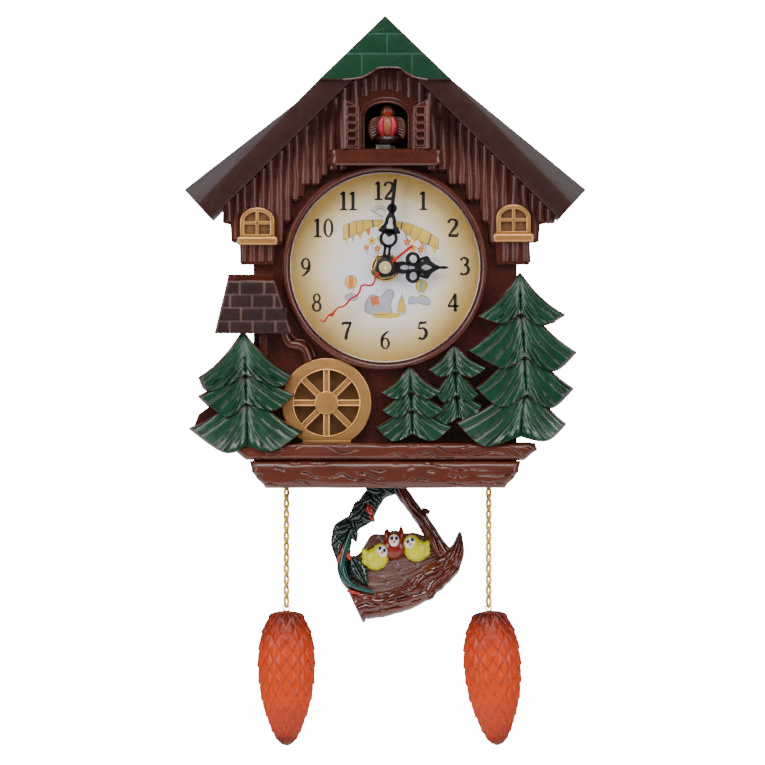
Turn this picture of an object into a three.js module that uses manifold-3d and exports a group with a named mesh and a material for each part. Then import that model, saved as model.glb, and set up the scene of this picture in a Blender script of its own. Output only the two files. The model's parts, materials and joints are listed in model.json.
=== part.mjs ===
// Cuckoo-style quartz wall clock: a chalet front with a bird in a doorway, a dial,
// relief trees, a water wheel, a nest pendulum and two pine cones on chains.
// Millimetres. +Z is up, the front faces -Y, the wall is the plane y = 0, and the
// origin is where the hanging nail meets the wall. Everything is drawn about the
// dial's centre inside one group, which hangs DIAL_DROP below the nail.
import * as THREE from "three";
import { mergeVertices } from "three/addons/utils/BufferGeometryUtils.js";
import Module from "manifold-3d";

const wasm = await Module();
wasm.setup();

// ---- driving dimensions ----
const GAP = 0.3;                 // clearance between neighbouring pieces
const PAST_FRONT = -65;          // a cut that starts here is in front of everything
const PAST_WALL = 1;             // and one that ends here is behind the back cover
const DIAL_DROP = 84;            // nail to dial centre
const WALL = 2.2;                // thickness of the plastic shells

const COVER_FRONT = -3;          // back cover, from the wall forward
const SHELL_BACK = COVER_FRONT - GAP;
const SHELL_FRONT = -46;
const RELIEF_BACK = SHELL_FRONT - GAP;
const PLANK_FRONT = -49.2;
const TREE_FRONT = -54;
const LOG_FRONT = -58;
const ROOF_FRONT = -60;
const ROOF_BACK = -3;

const ROOF_APEX = 123.1;         // heights are above the dial's centre
const GABLE_APEX = 107.7;        // underside of the roof at its ridge
const EAVE_X = 92.1;
const EAVE_TOP = 31.5;
const EAVE_BOTTOM = [85.4, 23.6];
const EAVE_BACK = [100, 39.4];   // the roof flares outwards towards the wall
const CAP_EDGE = [32.6, 91.7];   // lower outer corner of the green cap
const GABLE_SLOPE = (GABLE_APEX - EAVE_BOTTOM[1]) / EAVE_BOTTOM[0];

const BODY_HALF = 65;
const EAVE_WALL_X = 75.5;        // half width under the eaves
const EAVE_WALL_Z = 12.6;
const BODY_BOTTOM = -101;

const DIAL_RADIUS = 46.4;
const BEZEL_RADIUS = 50.7;
const BEZEL_BORE = 47.8;
const BEZEL_FRONT = -52.2;
const DIAL_FRONT = -42.6;
const DIAL_BACK = -41.6;
const LENS_FRONT = -50.9;
const LENS_BACK = -50.1;

const CASE_HALF = 28;            // square quartz movement
const CASE_FRONT = -41.3;
const CASE_BACK = -25;
const BATTERY_RADIUS = 7.1;      // AA cell
const BATTERY_LENGTH = 49.5;

const DOOR_X = 0.5;              // centre of the bird's doorway
const DOOR_HALF = 10.6;
const DOOR_SILL = 58.4;
const DOOR_SPRING = 74.1;
const DOOR_RISE = 6.8;
const HINGE_HALF = 13.9;         // shutter hinges either side of the doorway
const SHUTTER_OPEN = THREE.MathUtils.degToRad(120);
const RACK_MODULE = 0.5;
const PINION_TEETH = 12;

const BAY_X = [-58, -25];         // opening of the sound unit's battery bay
const BAY_Z = [-89, -33];
const BAY_WALL = 1.4;
const BAY_FLOOR = -19;

const PENDULUM_Z = -52;
const PENDULUM_Y = -20;
const HOOK_Y = -38;
const HOOK_Z = -104.1;
const CHAIN_RADIUS = 1.2;
const CHAIN_TOP = -106.6;
const CHAIN_BOTTOM = -166.2;
const LEFT_CHAIN_X = -48.6;
const RIGHT_CHAIN_X = 51;
const RIGHT_CONE_TILT = THREE.MathUtils.degToRad(3.7);
const CONE_PIVOT = -167.6;

const SCREWS = [[-67, 25], [67, 25], [-60.5, -94.5], [60.5, -94.5]];

// ---- materials ----
function finish(color, roughness, metalness = 0, opacity = 1) {
  return new THREE.MeshStandardMaterial({ color, roughness, metalness, opacity, transparent: opacity < 1 });
}
const brownPlastic = finish(0x4a2013, 0.25);
const darkPlastic = finish(0x2e1409, 0.22);
const greenPaint = finish(0x0e4a28, 0.25);
const goldPaint = finish(0xc4914f, 0.4, 0.6);
const brass = finish(0xd9a94a, 0.25, 1);
const steel = finish(0xb4b6b8, 0.3, 1);
const blackPaint = finish(0x0b0b0b, 0.35);
const redPaint = finish(0xc41512, 0.35);
const dialPaper = finish(0xe9d9a8, 0.7);
const clearPlastic = finish(0xffffff, 0.05, 0, 0.3);
const greyPlastic = finish(0x8f9396, 0.5);
const whitePlastic = finish(0xe8e8e4, 0.4);
const amberPlastic = finish(0xc25a14, 0.25);
const copper = finish(0xb4683c, 0.4, 0.8);
const batteryWrap = finish(0x2f4f7a, 0.4);
const boardGreen = finish(0x1e5a35, 0.5);

// ---- solids ----
function signedVolume(position, index) {
  const [a, b, c] = [new THREE.Vector3(), new THREE.Vector3(), new THREE.Vector3()];
  let total = 0;
  for (let i = 0; i < index.count; i += 3) {
    a.fromBufferAttribute(position, index.getX(i));
    b.fromBufferAttribute(position, index.getX(i + 1));
    c.fromBufferAttribute(position, index.getX(i + 2));
    total += a.dot(b.cross(c)) / 6;
  }
  return total;
}

function solid(geometry) {
  geometry.deleteAttribute("normal");
  geometry.deleteAttribute("uv");
  const merged = mergeVertices(geometry, 1e-4);
  const triangles = Uint32Array.from(merged.index.array);
  if (signedVolume(merged.attributes.position, merged.index) < 0) {
    for (let i = 0; i < triangles.length; i += 3) {
      [triangles[i], triangles[i + 1]] = [triangles[i + 1], triangles[i]];
    }
  }
  const source = { numProp: 3, vertProperties: Float32Array.from(merged.attributes.position.array) };
  return new wasm.Manifold(new wasm.Mesh({ ...source, triVerts: triangles }));
}

function join(first, ...others) {
  return others.reduce((whole, other) => whole.add(other), first);
}

function cut(first, ...others) {
  return others.reduce((whole, other) => whole.subtract(other), first);
}

// an outline in x and z, extruded from y = front back to y = back
function plate(outline, front, back, holes = []) {
  const shape = new THREE.Shape(outline.map(([x, z]) => new THREE.Vector2(x, z)));
  for (const hole of holes) {
    shape.holes.push(new THREE.Path(hole.map(([x, z]) => new THREE.Vector2(x, z))));
  }
  const geometry = new THREE.ExtrudeGeometry(shape, { depth: back - front, bevelEnabled: false });
  geometry.rotateX(Math.PI / 2);
  geometry.translate(0, back, 0);
  return solid(geometry);
}

// a solid whose front outline changes evenly into its back outline, point for point
function loft(frontOutline, backOutline, front, back) {
  const count = frontOutline.length;
  const points = [
    ...frontOutline.map(([x, z]) => [x, front, z]),
    ...backOutline.map(([x, z]) => [x, back, z]),
  ];
  const contour = frontOutline.map(([x, z]) => new THREE.Vector2(x, z));
  const step = THREE.ShapeUtils.area(contour) > 0 ? 1 : count - 1;
  const index = [];
  for (let i = 0; i < count; i += 1) {
    const next = (i + step) % count;
    index.push(i, count + next, next, i, count + i, count + next);
  }
  for (const [a, b, c] of THREE.ShapeUtils.triangulateShape(contour, [])) {
    const anticlockwise = THREE.ShapeUtils.area([contour[a], contour[b], contour[c]]) > 0;
    const [second, third] = anticlockwise ? [b, c] : [c, b];
    index.push(a, second, third, count + a, count + third, count + second);
  }
  const geometry = new THREE.BufferGeometry();
  geometry.setAttribute("position", new THREE.Float32BufferAttribute(points.flat(), 3));
  geometry.setIndex(index);
  return solid(geometry);
}

function block(x, y, z) {
  const geometry = new THREE.BoxGeometry(x[1] - x[0], y[1] - y[0], z[1] - z[0]);
  geometry.translate((x[0] + x[1]) / 2, (y[0] + y[1]) / 2, (z[0] + z[1]) / 2);
  return solid(geometry);
}

// a cylinder along y
function disc(radius, front, back, x = 0, z = 0, sides = 20) {
  const geometry = new THREE.CylinderGeometry(radius, radius, back - front, sides);
  geometry.translate(x, (front + back) / 2, z);
  return solid(geometry);
}

// a cylinder along z
function post(radius, bottom, top, x, y, sides = 16) {
  const geometry = new THREE.CylinderGeometry(radius, radius, top - bottom, sides);
  geometry.rotateX(Math.PI / 2);
  geometry.translate(x, y, (bottom + top) / 2);
  return solid(geometry);
}

// a closed profile of [radius, y] turned about the y axis
function turned(profile, sides = 32) {
  const points = profile.map(([radius, y]) => new THREE.Vector2(radius, y));
  return solid(new THREE.LatheGeometry(points, sides));
}

// a profile of [radius, z] turned about a vertical axis through x and y
function turnedUp(profile, x, y, sides = 16) {
  return turned(profile, sides).rotate([90, 0, 0]).translate([x, y, 0]);
}

function ring(inner, outer, front, back, sides = 24) {
  return turned([[inner, front], [outer, front], [outer, back], [inner, back], [inner, front]], sides);
}

function ball(radius, x, y, z, scale = [1, 1, 1]) {
  const geometry = new THREE.SphereGeometry(radius, 12, 7);
  geometry.scale(...scale);
  geometry.translate(x, y, z);
  return solid(geometry);
}

// the solid with GAP added around it in x and z, for cutting its neighbours
function grown(body) {
  const steps = [[GAP, 0], [-GAP, 0], [0, GAP], [0, -GAP]];
  return steps.reduce((whole, [x, z]) => whole.add(body.translate([x, 0, z])), body);
}

function mirrored(outline) {
  return [...outline].reverse().map(([x, z]) => [-x, z]);
}

// the right-hand half of a symmetric outline, top to bottom, made whole
function symmetric(half) {
  return [...half, ...mirrored(half).filter(([x]) => x !== 0)];
}

function arch(halfWidth, bottom, spring, rise, steps = 10) {
  const points = [[DOOR_X - halfWidth, bottom], [DOOR_X + halfWidth, bottom]];
  for (let i = 0; i <= steps; i += 1) {
    const angle = (i / steps) * Math.PI;
    points.push([DOOR_X + halfWidth * Math.cos(angle), spring + rise * Math.sin(angle)]);
  }
  return points;
}

function rectangle(x0, x1, z0, z1) {
  return [[x0, z0], [x1, z0], [x1, z1], [x0, z1]];
}

// the roof's underside, a little in from it
function gableLine(x, inset = GAP) {
  return GABLE_APEX - inset * 1.4 - GABLE_SLOPE * Math.abs(x);
}

const group = new THREE.Group();
const clock = new THREE.Group();
clock.position.z = -DIAL_DROP;
group.add(clock);

function add(name, body, material, parent = clock) {
  const { vertProperties, triVerts } = body.getMesh();
  const geometry = new THREE.BufferGeometry();
  geometry.setAttribute("position", new THREE.BufferAttribute(vertProperties, 3));
  geometry.setIndex(new THREE.BufferAttribute(triVerts, 1));
  geometry.computeVertexNormals();
  const mesh = new THREE.Mesh(geometry, material);
  mesh.name = name;
  parent.add(mesh);
  return mesh;
}

// ---- relief outlines, [x, z] from the dial's centre ----
const LEFT_TREE = [
  [-69.7, -31.3], [-65.3, -38.1], [-58.9, -44.5], [-46.8, -52.3], [-52.5, -55.8], [-45.2, -62.1],
  [-51.5, -66.6], [-40.8, -80.8], [-46.6, -86.2], [-53, -89.4], [-60.4, -87.8], [-67.7, -87.6],
  [-72.1, -90.1], [-79, -89.1], [-83.9, -85.8], [-90.7, -82.7], [-94.7, -78.8], [-92.2, -72.4],
  [-84.9, -67], [-90.3, -63.6], [-82.9, -56], [-89.8, -53.3], [-84.9, -49.4], [-78, -41.6],
  [-73.1, -34.7],
];
const TALL_TREE = [
  [66.1, -2.8], [70, -11.2], [76.3, -18], [86.6, -23.4], [83.7, -26.9], [76.5, -28.2], [83.7, -35.7],
  [92, -42], [87.1, -47.9], [81.7, -50.4], [85.7, -55.3], [90.6, -59.7], [86.6, -65.1],
  [80.3, -68.5], [87.1, -77.3], [83.7, -81.7], [78.3, -83.2], [68.5, -83.2], [61.2, -85.7],
  [48.4, -85.7], [42.5, -82.7], [35.4, -76.3], [42.5, -71], [50.4, -66.1], [45, -59.2],
  [50.4, -54.3], [55.3, -49.4], [46.5, -44.5], [41.1, -40.6], [49.4, -35.7], [55.8, -28.8],
  [46, -23.9], [55.3, -17.1], [61.6, -10.2],
];
const MIDDLE_TREE = [
  [33.7, -38.1], [38.1, -43], [43.5, -46.9], [49.4, -49.4], [46.5, -52.3], [41.6, -53.3],
  [45, -62.1], [41.6, -64.1], [46.9, -67.5], [45.5, -73.9], [33.7, -75.4], [24.4, -73.6],
  [29.8, -66.1], [25.4, -61.6], [30.8, -54.8], [25.9, -52.3], [21.5, -49.9], [27.3, -45.5],
];
const SMALL_TREE = [
  [12, -48.7], [16.1, -54.3], [22, -58.2], [27.3, -60.7], [23.9, -63.6], [20.5, -63.1],
  [24.9, -67.5], [28.8, -69.7], [25.9, -71.9], [22, -72.4], [27.3, -75.9], [32.2, -78.3],
  [27.8, -82.7], [23.2, -84.2], [18.5, -82.2], [13.6, -82], [8.7, -84.2], [3.8, -84.7],
  [-0.6, -82.7], [-4, -78.3], [1.9, -75.4], [5.3, -71.9], [1.4, -71.4], [-1.1, -70],
  [3.3, -66.1], [6.3, -62.6], [1.9, -62.6], [-1.8, -61.2], [4.3, -57.2], [8.2, -53.3],
];
const MILL = [[-77.6, -6.3], [-54, -6.3], [-45.7, -32.4], [-83.9, -32.4]];
const UPPER_LOG = [[-73.6, -86.1], [73.6, -86.1], [74.6, -90], [68, -94.6], [-68, -94.6], [-74.6, -90]];
const LOWER_LOG = [[-66.3, -94.9], [66.3, -94.9], [65.6, -99], [58.6, -108.2], [-58.6, -108.2], [-65.6, -99]];
const PLANKS = symmetric([
  [0, gableLine(0)], [79.6, gableLine(79.6)], [79.8, 22], [76, 21], [75.4, EAVE_WALL_Z], [70, EAVE_WALL_Z],
  [70, 1.5], [54.8, 1.5], [54.2, 12], [51, 21], [46.8, 29], [46.6, 34.4], [40, 35.4], [39.3, 42.7],
  [31.4, 43.5], [29.5, 50.1], [19.7, 50.1],
]);

// ---- housing ----
const WHEEL_X = -28.8;
const WHEEL_Z = -66.5;
const WHEEL_RADIUS = 22;
const WHEEL_RIM = 16.4;
const WHEEL_HUB = 6.1;
const WHEEL_FRONT = -49.4;
const SPOKES = 8;

function houseOutline(inset) {
  return symmetric([
    [0, gableLine(0, inset)],
    [EAVE_WALL_X - inset, gableLine(EAVE_WALL_X - inset, inset)],
    [EAVE_WALL_X - inset, EAVE_WALL_Z + inset],
    [BODY_HALF - inset, EAVE_WALL_Z + inset],
    [BODY_HALF - inset, BODY_BOTTOM + inset],
  ]);
}

// the outline drawn in towards its middle, so that a wall is left around it
function shrunk(outline, factor) {
  const xs = outline.map(([x]) => x);
  const zs = outline.map(([, z]) => z);
  const x0 = (Math.min(...xs) + Math.max(...xs)) / 2;
  const z0 = (Math.min(...zs) + Math.max(...zs)) / 2;
  return outline.map(([x, z]) => [x0 + (x - x0) * factor, z0 + (z - z0) * factor]);
}

function shellBody() {
  const wings = [LEFT_TREE, TALL_TREE, MILL, UPPER_LOG];
  const outside = [
    plate(houseOutline(GAP), SHELL_FRONT, SHELL_BACK),
    ...wings.map((outline) => plate(shrunk(outline, 0.98), SHELL_FRONT, SHELL_BACK)),
  ];
  const inside = [
    plate(houseOutline(WALL), SHELL_FRONT + WALL, PAST_WALL),
    ...wings.map((outline) => plate(shrunk(outline, 0.88), SHELL_FRONT + WALL, PAST_WALL)),
  ];
  const bosses = SCREWS.map(([x, z]) => disc(3.4, SHELL_FRONT + 1, SHELL_BACK, x, z, 12));
  const bores = SCREWS.map(([x, z]) => disc(1.6, -22, PAST_WALL, x, z, 12));
  return cut(join(cut(join(...outside), join(...inside)), ...bosses), ...bores);
}

function frontShell() {
  const bezelSpace = disc(BEZEL_RADIUS + GAP, PAST_FRONT, SHELL_FRONT, 0, 0, 48);
  const planks = cut(plate(PLANKS, PLANK_FRONT, SHELL_FRONT + 0.5), bezelSpace);
  const millPost = plate(rectangle(-61.8, -57.9, -44, -32), PLANK_FRONT, SHELL_FRONT + 0.5);
  const flume = plate([
    [-50.5, -31.5], [-49.4, -38.4], [-41.6, -39.8], [-38.6, -44.5], [-36, -43], [-39.6, -36.6],
    [-46.2, -36.2], [-47, -31.5],
  ], PLANK_FRONT, SHELL_FRONT + 0.5);
  const doorway = plate(arch(DOOR_HALF, DOOR_SILL, DOOR_SPRING, DOOR_RISE), PAST_FRONT, DIAL_BACK);
  const dialHole = disc(BEZEL_BORE + GAP, PAST_FRONT, DIAL_BACK, 0, 0, 48);
  const pendulumSlot = block([-9.4, 9.4], [-24.5, -15.5], [BODY_BOTTOM - 4, BODY_BOTTOM + 4]);
  const hookHoles = [LEFT_CHAIN_X, RIGHT_CHAIN_X].map(
    (x) => post(1.2, BODY_BOTTOM - 4, BODY_BOTTOM + 4, x, HOOK_Y, 10),
  );
  const whole = join(shellBody(), planks, millPost, flume);
  return cut(whole, doorway, dialHole, pendulumSlot, ...hookHoles);
}

// a section across the roof, from its ridge down one slope and back along its underside
function roofSection(inset, eave, foot) {
  const half = [[0, ROOF_APEX - inset * 1.4], [CAP_EDGE[0], CAP_EDGE[1] - inset * 1.4], eave, foot];
  return [...half, [0, GABLE_APEX + inset * 1.4], ...mirrored(half.slice(1))];
}

function roofShell() {
  const body = loft(
    roofSection(0, [EAVE_X, EAVE_TOP], EAVE_BOTTOM),
    roofSection(0, EAVE_BACK, EAVE_BOTTOM),
    ROOF_FRONT,
    ROOF_BACK,
  );
  const foot = [EAVE_BOTTOM[0] - 0.2, EAVE_BOTTOM[1] + WALL * 1.6];
  const cavity = loft(
    roofSection(WALL, [EAVE_X - WALL * 1.5, EAVE_TOP], foot),
    roofSection(WALL, [EAVE_BACK[0] - WALL * 2, EAVE_BACK[1] - WALL], foot),
    ROOF_FRONT + WALL,
    ROOF_BACK + 1,
  );
  return cut(body, cavity);
}

const CAP = [
  [0, ROOF_APEX], CAP_EDGE, [23.9, 91.7], [14.1, 92.7], [10, 94.9], [6.6, 97.5], [-3, 97.5],
  [-6.5, 95.2], [-10.6, 93.2], [-20.7, 91.7], [-CAP_EDGE[0], CAP_EDGE[1]],
];

function ridgeCap() {
  const face = plate(CAP, ROOF_FRONT - 2.4, ROOF_FRONT - GAP);
  const soffit = plate([
    [0, gableLine(0)], [14.3, gableLine(14.3)], [14.3, 92.8], [10, 94.9], [6.6, 97.5], [-3, 97.5],
    [-6.5, 95.2], [-10.6, 93.2], [-14.3, 92.6], [-14.3, gableLine(14.3)],
  ], ROOF_FRONT - 1, PLANK_FRONT - GAP);
  return join(face, soffit);
}

function balcony() {
  const deck = [];
  const [halfWidth, depth, corner] = [27.9, 11, 4];
  for (let i = 0; i <= 5; i += 1) {
    const angle = (i / 5) * (Math.PI / 2);
    deck.push([halfWidth - corner + corner * Math.sin(angle), -depth + corner - corner * Math.cos(angle)]);
  }
  const outline = [...deck, [halfWidth, 0], [-halfWidth, 0], ...mirrored(deck)];
  // drawn flat and turned up, so that the rounded front faces -y
  const slab = plate(outline, 0, 7.8).rotate([-90, 0, 0]);
  return slab.translate([DOOR_X, PLANK_FRONT - GAP, 57.7]);
}

function windowFrame(x, sill) {
  const [half, spring, rise] = [8.5, 7.6, 6.8];
  const shift = ([px, pz]) => [px - DOOR_X + x, pz];
  const outer = arch(half, sill, sill + spring, rise).map(shift);
  const hole = arch(half - 1.9, sill + 1.2, sill + spring, rise - 1.9).map(shift);
  const frame = cut(plate(outer, PLANK_FRONT - 2.2, PLANK_FRONT - GAP), plate(hole, PAST_FRONT, SHELL_FRONT));
  const upright = block([x - 0.8, x + 0.8], [PLANK_FRONT - 1.8, PLANK_FRONT - GAP], [sill, sill + spring + rise - 1]);
  const bar = block([x - half + 1, x + half - 1], [PLANK_FRONT - 1.8, PLANK_FRONT - GAP], [sill + 6, sill + 7.6]);
  const ledge = block([x - 10, x + 10], [PLANK_FRONT - 4, PLANK_FRONT - GAP], [sill - 4.2, sill + 0.1]);
  return join(frame, upright, bar, ledge);
}

function waterWheel() {
  const rim = ring(WHEEL_RIM, WHEEL_RADIUS, WHEEL_FRONT, RELIEF_BACK, 36);
  const hub = disc(WHEEL_HUB, WHEEL_FRONT, RELIEF_BACK, 0, 0, 20);
  const spokes = Array.from({ length: SPOKES / 2 }, (_, i) => {
    const bar = block([-WHEEL_RIM - 0.5, WHEEL_RIM + 0.5], [WHEEL_FRONT + 0.8, RELIEF_BACK], [-1.4, 1.4]);
    return bar.rotate([0, (i * 360) / SPOKES, 0]);
  });
  const foot = block([-11.8, 11.6], [WHEEL_FRONT + 0.4, RELIEF_BACK], [-19.2, -WHEEL_RIM - 1]);
  return join(rim, hub, ...spokes, foot).translate([WHEEL_X, 0, WHEEL_Z]);
}

function addHousing() {
  const wheel = waterWheel();
  const bezelSpace = disc(BEZEL_RADIUS + GAP, PAST_FRONT, DIAL_BACK, 0, 0, 48);
  const logs = join(plate(UPPER_LOG, LOG_FRONT + 0.4, RELIEF_BACK), plate(LOWER_LOG, LOG_FRONT, RELIEF_BACK));
  const logSpine = plate(rectangle(-64, 64, -96, -93), LOG_FRONT + 2, RELIEF_BACK);
  const logBase = join(logs, logSpine);
  const tallTree = cut(plate(TALL_TREE, TREE_FRONT, RELIEF_BACK), bezelSpace, grown(logBase));
  const smallTree = cut(plate(SMALL_TREE, TREE_FRONT, RELIEF_BACK), bezelSpace, grown(logBase));
  const neighbours = [bezelSpace, grown(tallTree), grown(smallTree)];
  const middleTree = cut(plate(MIDDLE_TREE, TREE_FRONT + 2, RELIEF_BACK), ...neighbours);
  const wheelSpace = grown(join(wheel, wheel.translate([0, -GAP, 0])));
  const leftTree = cut(plate(LEFT_TREE, TREE_FRONT, RELIEF_BACK), wheelSpace, grown(logBase));
  const millRoof = cut(plate(MILL, TREE_FRONT - 2, RELIEF_BACK), grown(leftTree));

  add("front_shell", cut(frontShell(), grown(millRoof), grown(wheel), grown(leftTree)), brownPlastic);
  add("roof_shell", roofShell(), darkPlastic);
  add("ridge_cap", ridgeCap(), greenPaint);
  add("balcony", cut(balcony(), bezelSpace), brownPlastic);
  add("left_window", windowFrame(-62.8, 15.1), goldPaint);
  add("right_window", windowFrame(63, 16.6), goldPaint);
  add("mill_roof", millRoof, darkPlastic);
  add("water_wheel", cut(wheel, bezelSpace, grown(logBase)), goldPaint);
  add("left_tree", leftTree, greenPaint);
  add("tall_tree", tallTree, greenPaint);
  add("middle_tree", middleTree, greenPaint);
  add("small_tree", smallTree, greenPaint);
  add("log_base", logBase, brownPlastic);
}

function backCover() {
  const grille = Array.from({ length: 5 }, (_, i) => rectangle(24, 52, -78 + i * 5.4, -75.6 + i * 5.4));
  const keyhole = join(
    disc(4.6, SHELL_BACK, PAST_WALL, 0, DIAL_DROP - 5.4, 16),
    block([-2.3, 2.3], [SHELL_BACK, PAST_WALL], [DIAL_DROP - 5, DIAL_DROP]),
    disc(2.3, SHELL_BACK, PAST_WALL, 0, DIAL_DROP, 16),
  );
  const screwHoles = SCREWS.flatMap(([x, z]) => [
    disc(1.7, SHELL_BACK, PAST_WALL, x, z, 12),
    disc(3.6, -1.8, PAST_WALL, x, z, 16),
  ]);
  const windows = [
    rectangle(-CASE_HALF - 1, CASE_HALF + 1, -CASE_HALF - 1, CASE_HALF + 1),
    rectangle(...BAY_X, ...BAY_Z),
    rectangle(40, 50.4, 14, 18),
    ...grille,
  ];
  return cut(plate(houseOutline(GAP), COVER_FRONT, 0, windows), keyhole, ...screwHoles);
}

function addBack() {
  add("back_cover", backCover(), brownPlastic);
  SCREWS.forEach(([x, z], i) => {
    const screw = join(disc(3.2, -1.6, -0.3, x, z, 16), disc(1.25, -14, -1.5, x, z, 12));
    const slot = block([x - 2, x + 2], [-0.9, 0], [z - 0.4, z + 0.4]);
    add(`back_screw_${i + 1}`, cut(screw, slot), steel);
  });
}

// ---- dial ----
function addDial() {
  const bezel = turned([
    [DIAL_RADIUS, DIAL_FRONT - GAP], [DIAL_RADIUS, BEZEL_FRONT], [BEZEL_RADIUS - 1.4, BEZEL_FRONT],
    [BEZEL_RADIUS, BEZEL_FRONT + 1.4], [BEZEL_RADIUS, RELIEF_BACK], [BEZEL_BORE, RELIEF_BACK],
    [BEZEL_BORE, DIAL_FRONT - GAP], [DIAL_RADIUS, DIAL_FRONT - GAP],
  ], 48);
  add("dial_bezel", bezel, brownPlastic);
  add("dial_lens", disc(DIAL_RADIUS - GAP, LENS_FRONT, LENS_BACK, 0, 0, 40), clearPlastic);
  add("dial_plate", ring(4.3, 49.5, DIAL_FRONT, DIAL_BACK, 48), dialPaper);
}

// ---- quartz movement ----
// Every wheel turns about a line along y. Each wheel and pinion pair in mesh stands
// (teeth + teeth) * module / 2 apart, and the follower is turned half a tooth into mesh.
const THIRD = { distance: 9.18, angle: 30 };
const INTERMEDIATE = { distance: 9.36, angle: 95 };
const MOTION = { distance: 9.8, angle: 170 };
const ROTOR = { distance: 7.56, angle: 60 };

function polar({ distance, angle }, origin = [0, 0]) {
  const turn = THREE.MathUtils.degToRad(angle);
  return [origin[0] + distance * Math.cos(turn), origin[1] + distance * Math.sin(turn)];
}
const thirdAt = polar(THIRD);
const intermediateAt = polar(INTERMEDIATE);
const motionAt = polar(MOTION);
const rotorAt = polar(ROTOR, intermediateAt);

// a spur gear with trapezoid teeth; a tooth points along the angle phase
function gearOutline(teeth, module, phase) {
  const pitch = (Math.PI * 2) / teeth;
  const tip = (teeth / 2 + 0.8) * module;
  const root = (teeth / 2 - 1.1) * module;
  const points = [];
  for (let i = 0; i < teeth; i += 1) {
    const centre = phase + i * pitch;
    for (const [radius, offset] of [[root, -0.26], [tip, -0.09], [tip, 0.09], [root, 0.26]]) {
      const angle = centre + offset * pitch;
      points.push([radius * Math.cos(angle), radius * Math.sin(angle)]);
    }
  }
  return points;
}

function gear(teeth, module, front, back, at, phase = 0) {
  const outline = gearOutline(teeth, module, phase).map(([x, z]) => [x + at[0], z + at[1]]);
  return plate(outline, front, back);
}

// the phase that sets a gear of this many teeth in mesh with a gear at another point
function meshPhase(teeth, at, otherTeeth, otherAt, otherPhase = 0) {
  const towards = Math.atan2(at[1] - otherAt[1], at[0] - otherAt[0]);
  const otherPitch = (Math.PI * 2) / otherTeeth;
  const share = (towards - otherPhase) / otherPitch;
  const pitch = (Math.PI * 2) / teeth;
  return towards + Math.PI + pitch * (0.5 + share);
}

const CENTRE = [0, 0];
const SECONDS_GEAR = { teeth: 30, module: 0.52 };
const SECONDS_PINION = { teeth: 6, module: 0.36 };
const CENTRE_GEAR = { teeth: 48, module: 0.34 };
const CANNON_PINION = { teeth: 10, module: 0.49 };
const HOUR_GEAR = { teeth: 32, module: 0.49 };
const LAYERS = {
  hour: [-38.9, -37.9],
  cannon: [-37.3, -36.3],
  centre: [-35.5, -34.7],
  third: [-33.7, -32.9],
  seconds: [-31.9, -31.1],
  intermediate: [-30.1, -29.3],
};
const ARBOR_BACK = -26.9;
const ARBOR_FRONT = -39.6;

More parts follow.
